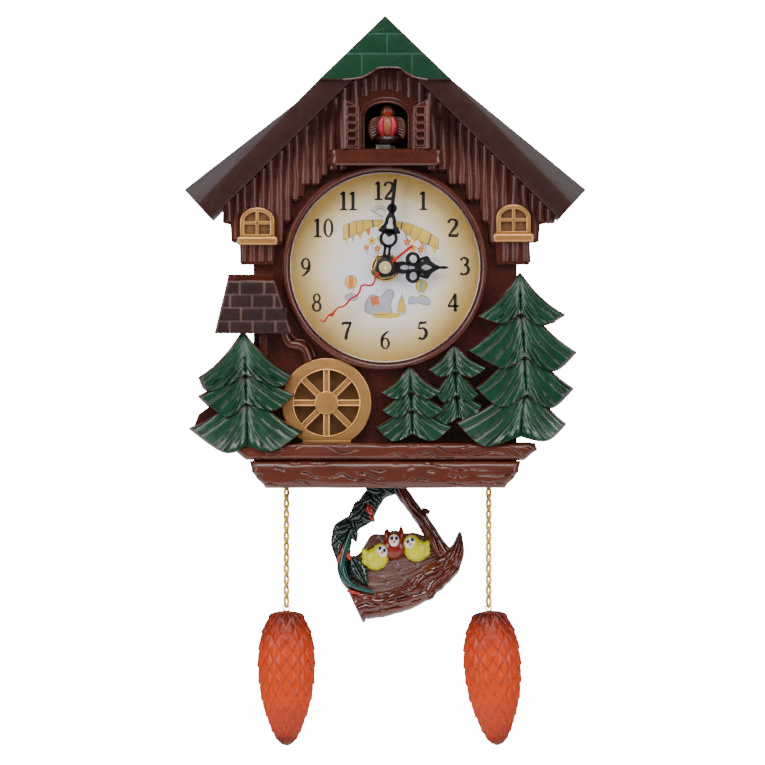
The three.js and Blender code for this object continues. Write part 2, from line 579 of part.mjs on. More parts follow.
function addWheels() {
  const secondsArbor = disc(0.4, -48.5, ARBOR_BACK, 0, 0, 10);
  const secondsPinion = gear(SECONDS_PINION.teeth, SECONDS_PINION.module, ...LAYERS.third, CENTRE);
  const secondsWheel = gear(SECONDS_GEAR.teeth, SECONDS_GEAR.module, ...LAYERS.seconds, CENTRE);
  const secondsHub = disc(0.7, LAYERS.third[1] - 0.2, LAYERS.seconds[0] + 0.2, 0, 0, 10);
  add("seconds_wheel", join(secondsArbor, secondsPinion, secondsWheel, secondsHub), brass);

  const centreWheel = gear(CENTRE_GEAR.teeth, CENTRE_GEAR.module, ...LAYERS.centre, CENTRE);
  const cannon = gear(CANNON_PINION.teeth, CANNON_PINION.module, ...LAYERS.cannon, CENTRE);
  const minuteTube = disc(1.15, -47.4, LAYERS.centre[1], 0, 0, 16);
  const minuteBore = disc(0.7, -50, -30, 0, 0, 12);
  add("centre_wheel", cut(join(centreWheel, cannon, minuteTube), minuteBore), brass);

  const hourWheel = gear(HOUR_GEAR.teeth, HOUR_GEAR.module, ...LAYERS.hour, CENTRE);
  const hourTube = disc(2, -46.3, LAYERS.hour[1], 0, 0, 20);
  add("hour_wheel", cut(join(hourWheel, hourTube), disc(1.45, -50, -30, 0, 0, 16)), brass);

  const thirdPhase = meshPhase(45, thirdAt, SECONDS_PINION.teeth, CENTRE);
  const thirdPinionPhase = meshPhase(6, thirdAt, CENTRE_GEAR.teeth, CENTRE);
  add("third_wheel", join(
    gear(45, SECONDS_PINION.module, ...LAYERS.third, thirdAt, thirdPhase),
    gear(6, CENTRE_GEAR.module, ...LAYERS.centre, thirdAt, thirdPinionPhase),
    disc(0.45, ARBOR_FRONT, ARBOR_BACK, ...thirdAt, 10),
  ), brass);

  const intermediatePinionPhase = meshPhase(6, intermediateAt, SECONDS_GEAR.teeth, CENTRE);
  add("intermediate_wheel", join(
    gear(36, 0.36, ...LAYERS.intermediate, intermediateAt),
    gear(6, SECONDS_GEAR.module, ...LAYERS.seconds, intermediateAt, intermediatePinionPhase),
    disc(0.45, ARBOR_FRONT, ARBOR_BACK, ...intermediateAt, 10),
  ), whitePlastic);

  const rotorPhase = meshPhase(6, rotorAt, 36, intermediateAt);
  add("rotor", join(
    gear(6, 0.36, ...LAYERS.intermediate, rotorAt, rotorPhase),
    disc(0.4, ARBOR_FRONT, ARBOR_BACK, ...rotorAt, 10),
    disc(2.6, -35, -31.4, ...rotorAt, 16),
  ), steel);

  const motionPhase = meshPhase(30, motionAt, CANNON_PINION.teeth, CENTRE);
  const motionPinionPhase = meshPhase(8, motionAt, HOUR_GEAR.teeth, CENTRE);
  add("motion_wheel", cut(join(
    gear(30, CANNON_PINION.module, ...LAYERS.cannon, motionAt, motionPhase),
    gear(8, HOUR_GEAR.module, ...LAYERS.hour, motionAt, motionPinionPhase),
    disc(1.5, ARBOR_FRONT, LAYERS.cannon[1] + 0.4, ...motionAt, 14),
  ), disc(0.8, -45, -30, ...motionAt, 10)), brass);
  const grip = Array.from({ length: 12 }, (_, i) => {
    const at = polar({ distance: 4.6, angle: i * 30 }, motionAt);
    return disc(0.7, -25, -20, ...at, 8);
  });
  const knob = join(disc(4.6, -24.7, -21, ...motionAt, 24), disc(0.5, ARBOR_FRONT, -24, ...motionAt, 10));
  add("set_knob", cut(knob, ...grip), greyPlastic);
}

function movementCase() {
  const square = (half) => rectangle(-half, half, -half, half);
  const tub = cut(plate(square(CASE_HALF), CASE_FRONT, -26.8), plate(square(CASE_HALF - 1.4), CASE_FRONT + 1.4, -20));
  const bushing = disc(4, -45.2, CASE_FRONT + 1, 0, 0, 20);
  return cut(join(tub, bushing), disc(2.4, -50, -35, 0, 0, 16));
}

function movementCover() {
  const half = CASE_HALF;
  const lid = plate(rectangle(-half, half, -half, half), -26.5, CASE_BACK);
  const batteryBay = block([-25.5, 25.5], [-30, -20], [-26.6, -11.4]);
  const arbors = [CENTRE, thirdAt, intermediateAt, rotorAt].map(([x, z]) => disc(0.9, -28, -26.2, x, z, 12));
  return cut(lid, batteryBay, disc(1, -30, -20, ...motionAt, 12), ...arbors);
}

function addMovement() {
  add("movement_case", movementCase(), greyPlastic);
  add("movement_cover", movementCover(), greyPlastic);
  const hexagon = cut(disc(5.7, -45.1, -43.6, 0, 0, 6), disc(4.3, -50, -40, 0, 0, 20));
  const flange = ring(4.3, 7.1, -43.7, DIAL_FRONT - GAP, 28);
  add("movement_nut", join(hexagon, flange), brass);
  // the stepping motor: a coil around one bar of the stator plate that holds the rotor
  const coil = disc(3.4, -9.5, 9.5, 0, 0, 16).rotate([0, 0, 90]).translate([0, -33, 23]);
  const statorPlate = plate(rectangle(-13.6, 13.6, 13.6, 25), -34, -32.8, [rectangle(-11, 11, 18.9, 21.1)]);
  const rotorHole = disc(3.1, -40, -30, ...rotorAt, 16);
  add("stepper_coil", join(cut(statorPlate, rotorHole), coil), copper);
  const cell = disc(BATTERY_RADIUS, -BATTERY_LENGTH / 2, BATTERY_LENGTH / 2, 0, 0, 20).rotate([0, 0, 90]);
  add("movement_battery", cell.translate([0, -32.4, -19]), batteryWrap);
  addWheels();
}

// ---- hands, drawn pointing up and then turned clockwise to the time ----
function turnedHand(body, degrees) {
  return body.rotate([0, degrees, 0]);
}

function addHands() {
  const hourPlate = plate([
    [-1.6, 3], [-2.6, 8], [-1.3, 13], [-4.6, 16], [-4.6, 19.4], [-2.4, 20.6], [-3.4, 23], [0, 31.2],
    [3.4, 23], [2.4, 20.6], [4.6, 19.4], [4.6, 16], [1.3, 13], [2.6, 8], [1.6, 3],
  ], -46.9, -46.4);
  const hourHand = cut(join(hourPlate, disc(4.4, -46.9, -46.4, 0, 0, 20)), disc(2.3, -50, -40, 0, 0, 20));
  add("hour_hand", turnedHand(hourHand, 90), blackPaint);

  const minutePlate = plate([
    [-1, 3], [-1.1, 10], [-4.1, 14], [-4.1, 18], [-1.2, 21], [-4.6, 24], [-1.6, 33], [-2, 36.5],
    [-0.7, 39], [-0.6, 43.9], [0.6, 43.9], [0.7, 39], [2, 36.5], [1.6, 33], [4.6, 24], [1.2, 21],
    [4.1, 18], [4.1, 14], [1.1, 10], [1, 3],
  ], -48.1, -47.6);
  const minuteBoss = disc(4.2, -48.1, -47.6, 0, 0, 20);
  const minuteHand = cut(join(minutePlate, minuteBoss), disc(1.45, -50, -40, 0, 0, 20));
  add("minute_hand", turnedHand(minuteHand, 6.7), blackPaint);

  const zigzag = [[0.5, 2], [-0.6, 14], [1.2, 20], [-1.2, 25], [0.8, 32], [-0.4, 40.4]];
  const needle = [...zigzag.map(([x, z]) => [x - 0.5, z]), ...[...zigzag].reverse().map(([x, z]) => [x + 0.5, z])];
  const tail = plate([[-0.9, -16.4], [0.9, -16.4], [0.7, -2], [-0.7, -2]], -49, -48.6);
  const cap = join(disc(3.2, -49.3, -48.6, 0, 0, 20), disc(2.2, -49.7, -49.2, 0, 0, 20));
  const secondHand = cut(join(plate(needle, -49, -48.6), tail, cap), disc(0.7, -49, -40, 0, 0, 12));
  add("second_hand", turnedHand(secondHand, 228), redPaint);
}

// ---- bird, doorway and its drive ----
const RACK_LINE = 4.5;           // pitch line of the rack, from the dial's centre
const PINION_X = RACK_LINE + (PINION_TEETH * RACK_MODULE) / 2;
const PINION_Y = -23;
const CARRIAGE_BACK = -20;

function rack() {
  const pitch = Math.PI * RACK_MODULE;
  const teeth = 14;
  const outline = [[0.8, CARRIAGE_BACK - teeth * pitch], [0.8, CARRIAGE_BACK]];
  for (let i = 0; i < teeth; i += 1) {
    const y = CARRIAGE_BACK - (i + 0.5) * pitch;
    for (const [depth, offset] of [[-1.1, 0.26], [0.8, 0.09], [0.8, -0.09], [-1.1, -0.26]]) {
      outline.push([RACK_LINE + depth * RACK_MODULE, y + offset * pitch]);
    }
  }
  return flatPlate(outline, 58, 59.8);
}

// an outline in x and y, extruded from z = bottom up to z = top
function flatPlate(outline, bottom, top) {
  const shape = new THREE.Shape(outline.map(([x, y]) => new THREE.Vector2(x, y)));
  const geometry = new THREE.ExtrudeGeometry(shape, { depth: top - bottom, bevelEnabled: false });
  geometry.translate(0, 0, bottom);
  return solid(geometry);
}

function cuckooBird() {
  const body = ball(1, DOOR_X + 0.6, -41, 69.4, [6.2, 6.6, 7.6]);
  const head = ball(4, DOOR_X + 0.8, -42.6, 77);
  const wings = [-1, 1].map((side) => ball(1, DOOR_X + 0.6 + side * 5, -40, 69.6, [3.4, 5.4, 6.2]));
  const beak = new THREE.ConeGeometry(1.1, 3, 8);
  beak.rotateX(Math.PI).translate(DOOR_X + 0.8, -47.6, 76.4);
  const stand = turnedUp([[0, 60.8], [5.6, 60.8], [8, 63.4], [6, 65], [0, 65]], DOOR_X + 0.6, -40.8, 20);
  return join(body, head, ...wings, solid(beak), stand);
}

function shutter() {
  const width = HINGE_HALF - 0.5;
  const [thin, bottom, hingeTop, freeTop] = [1.2, 57.95, 79, 82.1];
  const outline = [[0, bottom], [width, bottom], [width, freeTop], [0, hingeTop]];
  const slots = Array.from({ length: 5 }, (_, i) => {
    const base = bottom + 2.2 + i * 4;
    return rectangle(3, width - 2.4, base, base + 2.4);
  });
  const leaf = plate(outline, -thin / 2, thin / 2, slots);
  return join(leaf, post(0.95, bottom, hingeTop, 0, 0, 12));
}

function addBirdDrive() {
  const [half, floor, ceiling, back, front] = [12.6, 57.4, 86.4, -9, SHELL_FRONT + WALL + GAP];
  const outer = block([DOOR_X - half - 1.2, DOOR_X + half + 1.2], [front, back], [floor - 1.2, ceiling + 1.2]);
  const inner = block([DOOR_X - half, DOOR_X + half], [front - 1, back - 1.2], [floor, ceiling]);
  const shaftHole = post(1.3, 50, 60, PINION_X, PINION_Y, 12);
  const rackSlot = block([0.3, RACK_LINE + 1], [-12, 0], [57.6, 60.2]);
  add("bird_box", cut(outer, inner, shaftHole, rackSlot), darkPlastic);
  const motor = join(post(5.9, 38, 55.6, PINION_X, PINION_Y, 20), post(0.6, 55, 60.2, PINION_X, PINION_Y, 10));
  add("bird_motor", motor, steel);
  const pinionOutline = gearOutline(PINION_TEETH, RACK_MODULE, 0).map(([x, y]) => [x + PINION_X, y + PINION_Y]);
  const pinion = cut(flatPlate(pinionOutline, 57.9, 59.9), post(0.9, 50, 70, PINION_X, PINION_Y, 10));
  add("bird_pinion", pinion, whitePlastic);
  const sled = block([DOOR_X - 5, 2.6], [-43.2, -34], [57.9, 60.4]);
  add("bird_carriage", join(sled, rack()), whitePlastic);
  add("cuckoo_bird", cuckooBird(), brownPlastic);

  for (const [name, side] of [["left_shutter", -1], ["right_shutter", 1]]) {
    const hinge = new THREE.Group();
    hinge.position.set(DOOR_X + side * HINGE_HALF, PLANK_FRONT - 1.4, 0);
    hinge.rotation.z = side * SHUTTER_OPEN;
    clock.add(hinge);
    const leaf = side < 0 ? shutter() : shutter().mirror([1, 0, 0]);
    add(name, leaf, brownPlastic, hinge);
  }
}

// ---- sound unit behind the lower body ----
function addSoundUnit() {
  const around = ([low, high]) => [low - BAY_WALL, high + BAY_WALL];
  const tray = cut(
    block(around(BAY_X), [BAY_FLOOR - BAY_WALL, COVER_FRONT - GAP], around(BAY_Z)),
    block(BAY_X, [BAY_FLOOR, 0], BAY_Z),
  );
  add("battery_box", tray, darkPlastic);
  const cellBottom = BAY_Z[0] + 3;
  [-49.6, -33.4].forEach((x, i) => {
    const cell = post(BATTERY_RADIUS, cellBottom, cellBottom + BATTERY_LENGTH, x, -11.4, 20);
    add(`sound_battery_${i + 1}`, cell, batteryWrap);
  });
  const inset = ([low, high]) => [low + GAP, high - GAP];
  const lid = block(inset(BAY_X), [-2.6, -0.6], inset(BAY_Z));
  const thumbGrip = block([-33, -31], [-1.2, 0], [-67, -55]);
  add("battery_door", cut(lid, thumbGrip), brownPlastic);
  const speaker = turned([
    [0, -25], [9, -25], [9, -18], [17.5, -11], [20, -11], [20, COVER_FRONT - GAP], [18, COVER_FRONT - GAP],
    [6, -11], [0, -10],
  ], 28);
  add("speaker", speaker.translate([38, 0, -68]), steel);
  const board = block([32, 60], [-13, -11.4], [-34, 10]);
  const chips = [block([38, 48], [-14.6, -12.5], [-24, -14]), block([50, 56], [-17, -12.5], [-4, 4])];
  add("sound_board", join(board, ...chips), boardGreen);
  const nub = block([41, 44.4], [-4.6, -0.6], [14.4, 17.6]);
  const slider = block([38, 47.4], [-5.4, -3.4], [13, 19]);
  add("sound_switch", join(nub, slider), whitePlastic);
}

// ---- pendulum ----
const NEST = [
  [-10.1, -103], [-15.5, -112.5], [-18.4, -118], [-23.2, -124.6], [-27.5, -133.2], [-24.1, -141],
  [-23.6, -147.9], [-22.1, -152.8], [-17.7, -158.7], [-17.2, -163.6], [-12.6, -170.4], [-10.6, -174.8],
  [-1.1, -171.9], [14.6, -166.7], [28.1, -160.1], [31, -155.2], [36.4, -147.9], [39.1, -138.6],
  [36.8, -128.5], [31.5, -137.1], [19.5, -120.7], [9.2, -106], [3, -103],
];
const NEST_HOLE = [
  [1.4, -111.1], [19, -130.9], [16.6, -132.7], [12.2, -131.7], [7.3, -128.8], [4.8, -123.4],
  [1.4, -125.3], [-0.6, -130.2], [-6.5, -132.2], [-13.5, -141.5], [-14, -133.2], [-13.5, -127.1],
  [-5.8, -125.6], [-4.8, -120.2], [-0.4, -112],
];

function addPendulum() {
  const drive = block([-12, 12], [-37, -23], [-76, -44]);
  const pin = disc(1.3, -23.5, -16.4, 0, PENDULUM_Z, 14);
  add("pendulum_drive", join(drive, pin), greyPlastic);
  const rod = join(
    block([-1.6, 1.6], [PENDULUM_Y - 1, PENDULUM_Y + 1], [-101, PENDULUM_Z]),
    disc(3.6, PENDULUM_Y - 1, PENDULUM_Y + 1, 0, PENDULUM_Z, 18),
    block([-4, 4], [PENDULUM_Y - 1.6, PENDULUM_Y + 1.6], [-74, -68]),
    block([-3, 3], [-18.4, -16.6], [-108, -99]),
    block([-1.6, 1.6], [PENDULUM_Y - 1, -16.6], [-102, -98]),
  );
  add("pendulum_rod", cut(rod, disc(1.7, -30, -10, 0, PENDULUM_Z, 18)), darkPlastic);
  add("nest_bob", plate(NEST, -27, -18.7, [NEST_HOLE]), brownPlastic);
}

// ---- chains and pine cones ----
const CONE_PROFILE = [
  [0, -235.6], [3.2, -234.6], [7.6, -228.5], [11.4, -218], [13.4, -206], [14, -196], [13.2, -186],
  [10.6, -176.5], [6.4, -170.4], [0, -169],
];

function hook(x) {
  const eye = ring(1.7, 2.9, -0.6, 0.6, 16).translate([x, HOOK_Y, HOOK_Z]);
  return join(eye, post(0.75, HOOK_Z + 2, -95, x, HOOK_Y, 10));
}

function chain(x) {
  const path = new THREE.LineCurve3(new THREE.Vector3(x, HOOK_Y, CHAIN_TOP - 1), new THREE.Vector3(x, HOOK_Y, CHAIN_BOTTOM));
  const section = Array.from({ length: 8 }, (_, i) => {
    const angle = (i / 8) * Math.PI * 2;
    return new THREE.Vector2(CHAIN_RADIUS * Math.cos(angle), CHAIN_RADIUS * Math.sin(angle));
  });
  const options = { steps: 10, bevelEnabled: false, extrudePath: path };
  return solid(new THREE.ExtrudeGeometry(new THREE.Shape(section), options));
}

function addChains() {
  const sides = [["left", LEFT_CHAIN_X, 0], ["right", RIGHT_CHAIN_X, RIGHT_CONE_TILT]];
  for (const [side, x, tilt] of sides) {
    add(`${side}_hook`, hook(x), brass);
    add(`${side}_chain`, chain(x), brass);
    const hanger = new THREE.Group();
    hanger.position.set(x, HOOK_Y, CONE_PIVOT);
    hanger.rotation.y = -tilt;
    clock.add(hanger);
    const cone = turnedUp(CONE_PROFILE.map(([radius, z]) => [radius, z - CONE_PIVOT]), 0, 0, 20);
    add(`${side}_cone`, cone, amberPlastic, hanger);
  }
}

addHousing();
addBack();
addDial();
addMovement();
addHands();
addBirdDrive();
addSoundUnit();
addPendulum();
addChains();

export default group;
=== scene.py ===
"""Looks of the cuckoo-style wall clock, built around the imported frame.

Lengths below are millimetres from the dial's centre: x to the right, y into the wall,
z up. DIAL turns them into the frame's metres.
"""
import json
import math
import random

import bmesh
import bpy
from mathutils import Matrix, Vector, noise


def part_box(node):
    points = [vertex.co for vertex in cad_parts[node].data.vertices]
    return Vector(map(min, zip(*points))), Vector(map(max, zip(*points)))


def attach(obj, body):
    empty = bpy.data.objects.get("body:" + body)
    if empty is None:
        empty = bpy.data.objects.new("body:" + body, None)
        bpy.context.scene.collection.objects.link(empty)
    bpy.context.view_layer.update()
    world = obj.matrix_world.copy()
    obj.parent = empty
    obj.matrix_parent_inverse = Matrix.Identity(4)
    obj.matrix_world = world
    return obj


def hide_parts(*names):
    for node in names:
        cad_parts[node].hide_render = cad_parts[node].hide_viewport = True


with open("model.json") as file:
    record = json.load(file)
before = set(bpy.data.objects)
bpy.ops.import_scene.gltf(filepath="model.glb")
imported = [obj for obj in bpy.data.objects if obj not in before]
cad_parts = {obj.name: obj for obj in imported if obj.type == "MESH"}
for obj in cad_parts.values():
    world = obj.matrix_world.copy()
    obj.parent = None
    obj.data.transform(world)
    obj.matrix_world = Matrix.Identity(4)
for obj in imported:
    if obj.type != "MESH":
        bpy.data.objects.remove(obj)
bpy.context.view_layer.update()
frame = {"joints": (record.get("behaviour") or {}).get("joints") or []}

MM = 0.001
BEZEL_LOW, BEZEL_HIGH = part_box("dial_bezel")
DIAL = Vector((0.0, 0.0, (BEZEL_LOW[2] + BEZEL_HIGH[2]) / 2))


def level(node, corner, axis):
    """One side of a CAD node's box in mm from the dial's centre."""
    return (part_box(node)[corner][axis] - DIAL[axis]) / MM


SHELL_Y = level("mill_roof", 1, 1) + 0.3      # front face of the shell's plate
PLANK_Y = level("front_shell", 0, 1)
TREE_Y = level("left_tree", 0, 1)
LOG_Y = level("log_base", 0, 1)
DIAL_Y = level("dial_plate", 0, 1)
ROOF_Y = level("roof_shell", 0, 1)
RELIEF_BACK = level("left_tree", 1, 1)
CORD_Y = (level("left_chain", 0, 1) + level("left_chain", 1, 1)) / 2
rng = random.Random(7)
SIDES = ("left", "right")


# ---------------------------------------------------------------- materials
def link(tree, source, target):
    tree.links.new(source, target)


def set_sockets(node, **values):
    """Sets a node's inputs; an underscore stands for a space in a socket's name."""
    for name, value in values.items():
        node.inputs[name.replace("_", " ")].default_value = value
    return node


def shader(name, **values):
    """A new material, its tree and its shader with plain values on some sockets."""
    mat = bpy.data.materials.new(name)
    mat.use_nodes = True
    bsdf = mat.node_tree.nodes["Principled BSDF"]
    return mat, mat.node_tree, set_sockets(bsdf, **values)


def texture(tree, scale, kind="ShaderNodeTexNoise", **values):
    """A texture on object coordinates; scale is in features per metre."""
    made = set_sockets(tree.nodes.new(kind), Scale=scale, **values)
    where = tree.nodes.new("ShaderNodeTexCoord")
    link(tree, where.outputs["Object"], made.inputs["Vector"])
    return made.outputs["Fac"]


def remap(tree, source, **limits):
    made = set_sockets(tree.nodes.new("ShaderNodeMapRange"), **limits)
    link(tree, source, made.inputs["Value"])
    return made.outputs["Result"]


def ramp(tree, source, stops):
    made = tree.nodes.new("ShaderNodeValToRGB")
    while len(made.color_ramp.elements) < len(stops):
        made.color_ramp.elements.new(0.5)
    for element, (place, colour) in zip(made.color_ramp.elements, stops):
        element.position = place
        element.color = (*colour, 1)
    link(tree, source, made.inputs["Fac"])
    return made.outputs["Color"]


def ragged(tree, source, scale, amount):
    """The source with slow noise added, so that the edge of a tint wanders."""
    added = tree.nodes.new("ShaderNodeMath")
    added.operation = "MULTIPLY_ADD"
    added.inputs[1].default_value = amount
    link(tree, texture(tree, scale, Detail=3.0), added.inputs[0])
    link(tree, source, added.inputs[2])
    return added.outputs["Value"]


def bump(tree, bsdf, source, strength, distance):
    made = set_sockets(tree.nodes.new("ShaderNodeBump"), Strength=strength, Distance=distance * MM)
    link(tree, source, made.inputs["Height"])
    link(tree, made.outputs["Normal"], bsdf.inputs["Normal"])


def shade(colour, factor):
    return tuple(min(1.0, c * factor) for c in colour)


def moulded(name, colour, rough=0.25, metal=0.0, coat=0.0, mottle=0.25, pits=0.03):
    """Moulded or painted plastic: slow colour drift, uneven gloss and a fine orange-peel skin."""
    mat, tree, bsdf = shader(name, Metallic=metal, Coat_Weight=coat, Coat_Roughness=0.08)
    drift = texture(tree, 70, Detail=5.0, Roughness=0.6)
    stops = [(0.3, shade(colour, 1 - mottle)), (0.7, shade(colour, 1 + mottle))]
    link(tree, ramp(tree, drift, stops), bsdf.inputs["Base Color"])
    smear = texture(tree, 260, Detail=3.0)
    gloss = remap(tree, smear, To_Min=rough * 0.75, To_Max=rough * 1.35)
    link(tree, gloss, bsdf.inputs["Roughness"])
    bump(tree, bsdf, texture(tree, 900, Detail=2.0), 0.25, pits)
    return mat


def metal(name, colour, brushed=False):
    """Polished or brushed metal with fine scratches."""
    mat, tree, bsdf = shader(name, Metallic=1.0, Roughness=0.3)
    lines = texture(tree, 1500, "ShaderNodeTexWave" if brushed else "ShaderNodeTexNoise")
    tints = ramp(tree, lines, [(0.25, shade(colour, 0.75)), (0.75, colour)])
    link(tree, tints, bsdf.inputs["Base Color"])
    bump(tree, bsdf, lines, 0.2, 0.02)
    return mat


def dial_paper(name):
    """Printed card: bluish white in the middle, through cream, to old gold at the rim."""
    mat, tree, bsdf = shader(name, Roughness=0.55)
    where = tree.nodes.new("ShaderNodeTexCoord")
    centred = tree.nodes.new("ShaderNodeVectorMath")
    centred.operation = "SUBTRACT"
    centred.inputs[1].default_value = (DIAL.x, DIAL_Y * MM, DIAL.z)
    link(tree, where.outputs["Object"], centred.inputs[0])
    length = tree.nodes.new("ShaderNodeVectorMath")
    length.operation = "LENGTH"
    link(tree, centred.outputs["Vector"], length.inputs[0])
    share = remap(tree, ragged(tree, length.outputs["Value"], 45, 0.011), From_Max=0.0535)
    tints = ramp(tree, share, [
        (0.34, (0.82, 0.82, 0.90)), (0.60, (0.84, 0.76, 0.62)), (0.78, (0.74, 0.55, 0.25)),
        (0.95, (0.60, 0.38, 0.09)),
    ])
    link(tree, tints, bsdf.inputs["Base Color"])
    bump(tree, bsdf, texture(tree, 3000, Detail=2.0), 0.1, 0.02)
    return mat


def clear_lens(name):
    """Nearly clear plastic, with a gloss that varies a little."""
    mat, tree, bsdf = shader(name, Base_Color=(0.01, 0.01, 0.01, 1), Alpha=0.05)
    gloss = ramp(tree, texture(tree, 500), [(0.3, (0.02,) * 3), (0.7, (0.06,) * 3)])
    link(tree, gloss, bsdf.inputs["Roughness"])
    return mat


def cone_amber(name, top, tip):
    """Slightly translucent amber plastic, darker red-brown towards the crown and the tip."""
    mat, tree, bsdf = shader(
        name, Roughness=0.36, Specular_IOR_Level=0.25, Subsurface_Weight=0.08,
        Subsurface_Radius=(1.0, 0.25, 0.05), Subsurface_Scale=0.003,
    )
    where = tree.nodes.new("ShaderNodeTexCoord")
    axes = tree.nodes.new("ShaderNodeSeparateXYZ")
    link(tree, where.outputs["Object"], axes.inputs["Vector"])
    amount = 0.022
    height = remap(tree, ragged(tree, axes.outputs["Z"], 60, amount),
                   From_Min=tip + amount / 2, From_Max=top + amount / 2)
    height_tints = ramp(tree, height, [
        (0.0, (0.06, 0.004, 0.001)), (0.11, (0.38, 0.026, 0.001)), (0.35, (0.57, 0.046, 0.001)),
        (0.72, (0.54, 0.040, 0.001)), (0.90, (0.20, 0.013, 0.002)), (1.0, (0.04, 0.004, 0.003)),
    ])
    link(tree, height_tints, bsdf.inputs["Base Color"])
    bump(tree, bsdf, texture(tree, 900), 0.2, 0.05)
    return mat


BROWN = moulded("brown_plastic", (0.060, 0.0115, 0.0055), rough=0.27, pits=0.008)
LOG_BROWN = moulded("log_plastic", (0.082, 0.017, 0.008), rough=0.3, coat=0.05, pits=0.04)
ROOF_BROWN = moulded("roof_plastic", (0.026, 0.0055, 0.002), rough=0.36, mottle=0.12, pits=0.006)
BRICK_BROWN = moulded("brick_plastic", (0.017, 0.0032, 0.0012), rough=0.42, mottle=0.3, pits=0.008)
MORTAR = moulded("mortar_plastic", (0.16, 0.085, 0.075), rough=0.35, mottle=0.3)
GREEN = moulded("green_paint", (0.0006, 0.033, 0.0105), rough=0.3, mottle=0.35, pits=0.012)
# A darker green for the trees' grooves and spine: painted shade in the creases.
GROOVE_PAINTED_SHADE = moulded("groove_painted_shade_green", (0.0005, 0.010, 0.0035), rough=0.4, pits=0.012)
CAP_GREEN = moulded("cap_green_paint", (0.001, 0.034, 0.010), rough=0.35, mottle=0.15, pits=0.012)
GROUT_GREEN = moulded("grout_green_paint", (0.025, 0.12, 0.065), rough=0.3)
LEAF_GREEN = moulded("leaf_dark_paint", (0.004, 0.018, 0.012), rough=0.14, coat=0.4, mottle=0.4)
GOLD = moulded("gold_paint", (0.52, 0.26, 0.085), rough=0.3, metal=0.6, mottle=0.12, pits=0.03)
# A darker copy of the gold paint for recessed faces: painted shade.
GOLD_PAINTED_SHADE = moulded("gold_painted_shade", (0.14, 0.066, 0.02), rough=0.5, metal=0.3, mottle=0.45)
BRASS = moulded("chain_brass", (0.80, 0.45, 0.05), rough=0.2, metal=0.7, mottle=0.15, pits=0.004)
NUT_BRASS = moulded("nut_brass", (0.56, 0.41, 0.14), rough=0.17, metal=0.88, mottle=0.1, pits=0.004)
CAP_BRASS = moulded("cap_brass", (0.90, 0.74, 0.40), rough=0.22, metal=0.5, mottle=0.06, pits=0.004)
STEEL = metal("steel", (0.55, 0.56, 0.57), brushed=True)
SILVER = metal("silver_ring", (0.34, 0.30, 0.30))
COPPER = metal("copper_wire", (0.72, 0.30, 0.12), brushed=True)
BLACK = moulded("black_lacquer", (0.002, 0.002, 0.002), rough=0.4, mottle=0.1, pits=0.004)
INK = moulded("black_ink", (0.004, 0.003, 0.003), rough=0.6, mottle=0.2)
RED = moulded("red_lacquer", (0.50, 0.003, 0.002), rough=0.4, mottle=0.1, pits=0.004)
GREY = moulded("grey_plastic", (0.20, 0.21, 0.22), rough=0.45, mottle=0.08, pits=0.08)
WHITE = moulded("white_plastic", (0.62, 0.62, 0.58), rough=0.4, mottle=0.05)
CELL_BLUE = moulded("battery_sleeve", (0.03, 0.07, 0.16), rough=0.3, mottle=0.1)
BOARD = moulded("circuit_board", (0.01, 0.09, 0.035), rough=0.4, mottle=0.3)
# A darker amber for the lines between the cone's scales: painted shade.
CONE_PAINTED_SHADE = moulded("cone_painted_shade", (0.30, 0.022, 0.002), rough=0.45, pits=0.004)
PLANK_BROWN = moulded("plank_plastic", (0.066, 0.014, 0.008), rough=0.4, pits=0.006)
# A lighter brown for the shutters' raised frames: painted highlight on the brown plastic.
SHUTTER_PAINTED_HIGHLIGHT = moulded("shutter_painted_highlight", (0.15, 0.065, 0.055), rough=0.35, pits=0.006)
CHICK_YELLOW = moulded("chick_yellow", (0.60, 0.56, 0.004), rough=0.3, mottle=0.1)
CHICK_RED = moulded("chick_red", (0.17, 0.012, 0.003), rough=0.25, mottle=0.3)
FACE_WHITE = moulded("face_white", (0.75, 0.76, 0.80), rough=0.3, mottle=0.03)
BERRY_RED = moulded("berry_red", (0.35, 0.012, 0.008), rough=0.2, coat=0.3)
BASKET = moulded("basket_plastic", (0.11, 0.048, 0.036), rough=0.3, mottle=0.25)
BIRD_TAN = moulded("bird_tan", (0.36, 0.12, 0.045), rough=0.35)
BIRD_HEAD = moulded("bird_head", (0.17, 0.055, 0.018), rough=0.3, mottle=0.4)
BIRD_RED = moulded("bird_crimson", (0.40, 0.008, 0.03), rough=0.3, mottle=0.3)
BIRD_WING = moulded("bird_wing", (0.13, 0.04, 0.02), rough=0.42)
DIAL_CARD = dial_paper("dial_card")
LENS = clear_lens("lens")


# ---------------------------------------------------------------- mesh making
def to_frame(point):
    return Vector(point) * MM + DIAL


def add_object(name, data):
    obj = bpy.data.objects.new(name, data)
    bpy.context.scene.collection.objects.link(obj)
    return obj


def angles(count):
    return [math.tau * k / count for k in range(count)]


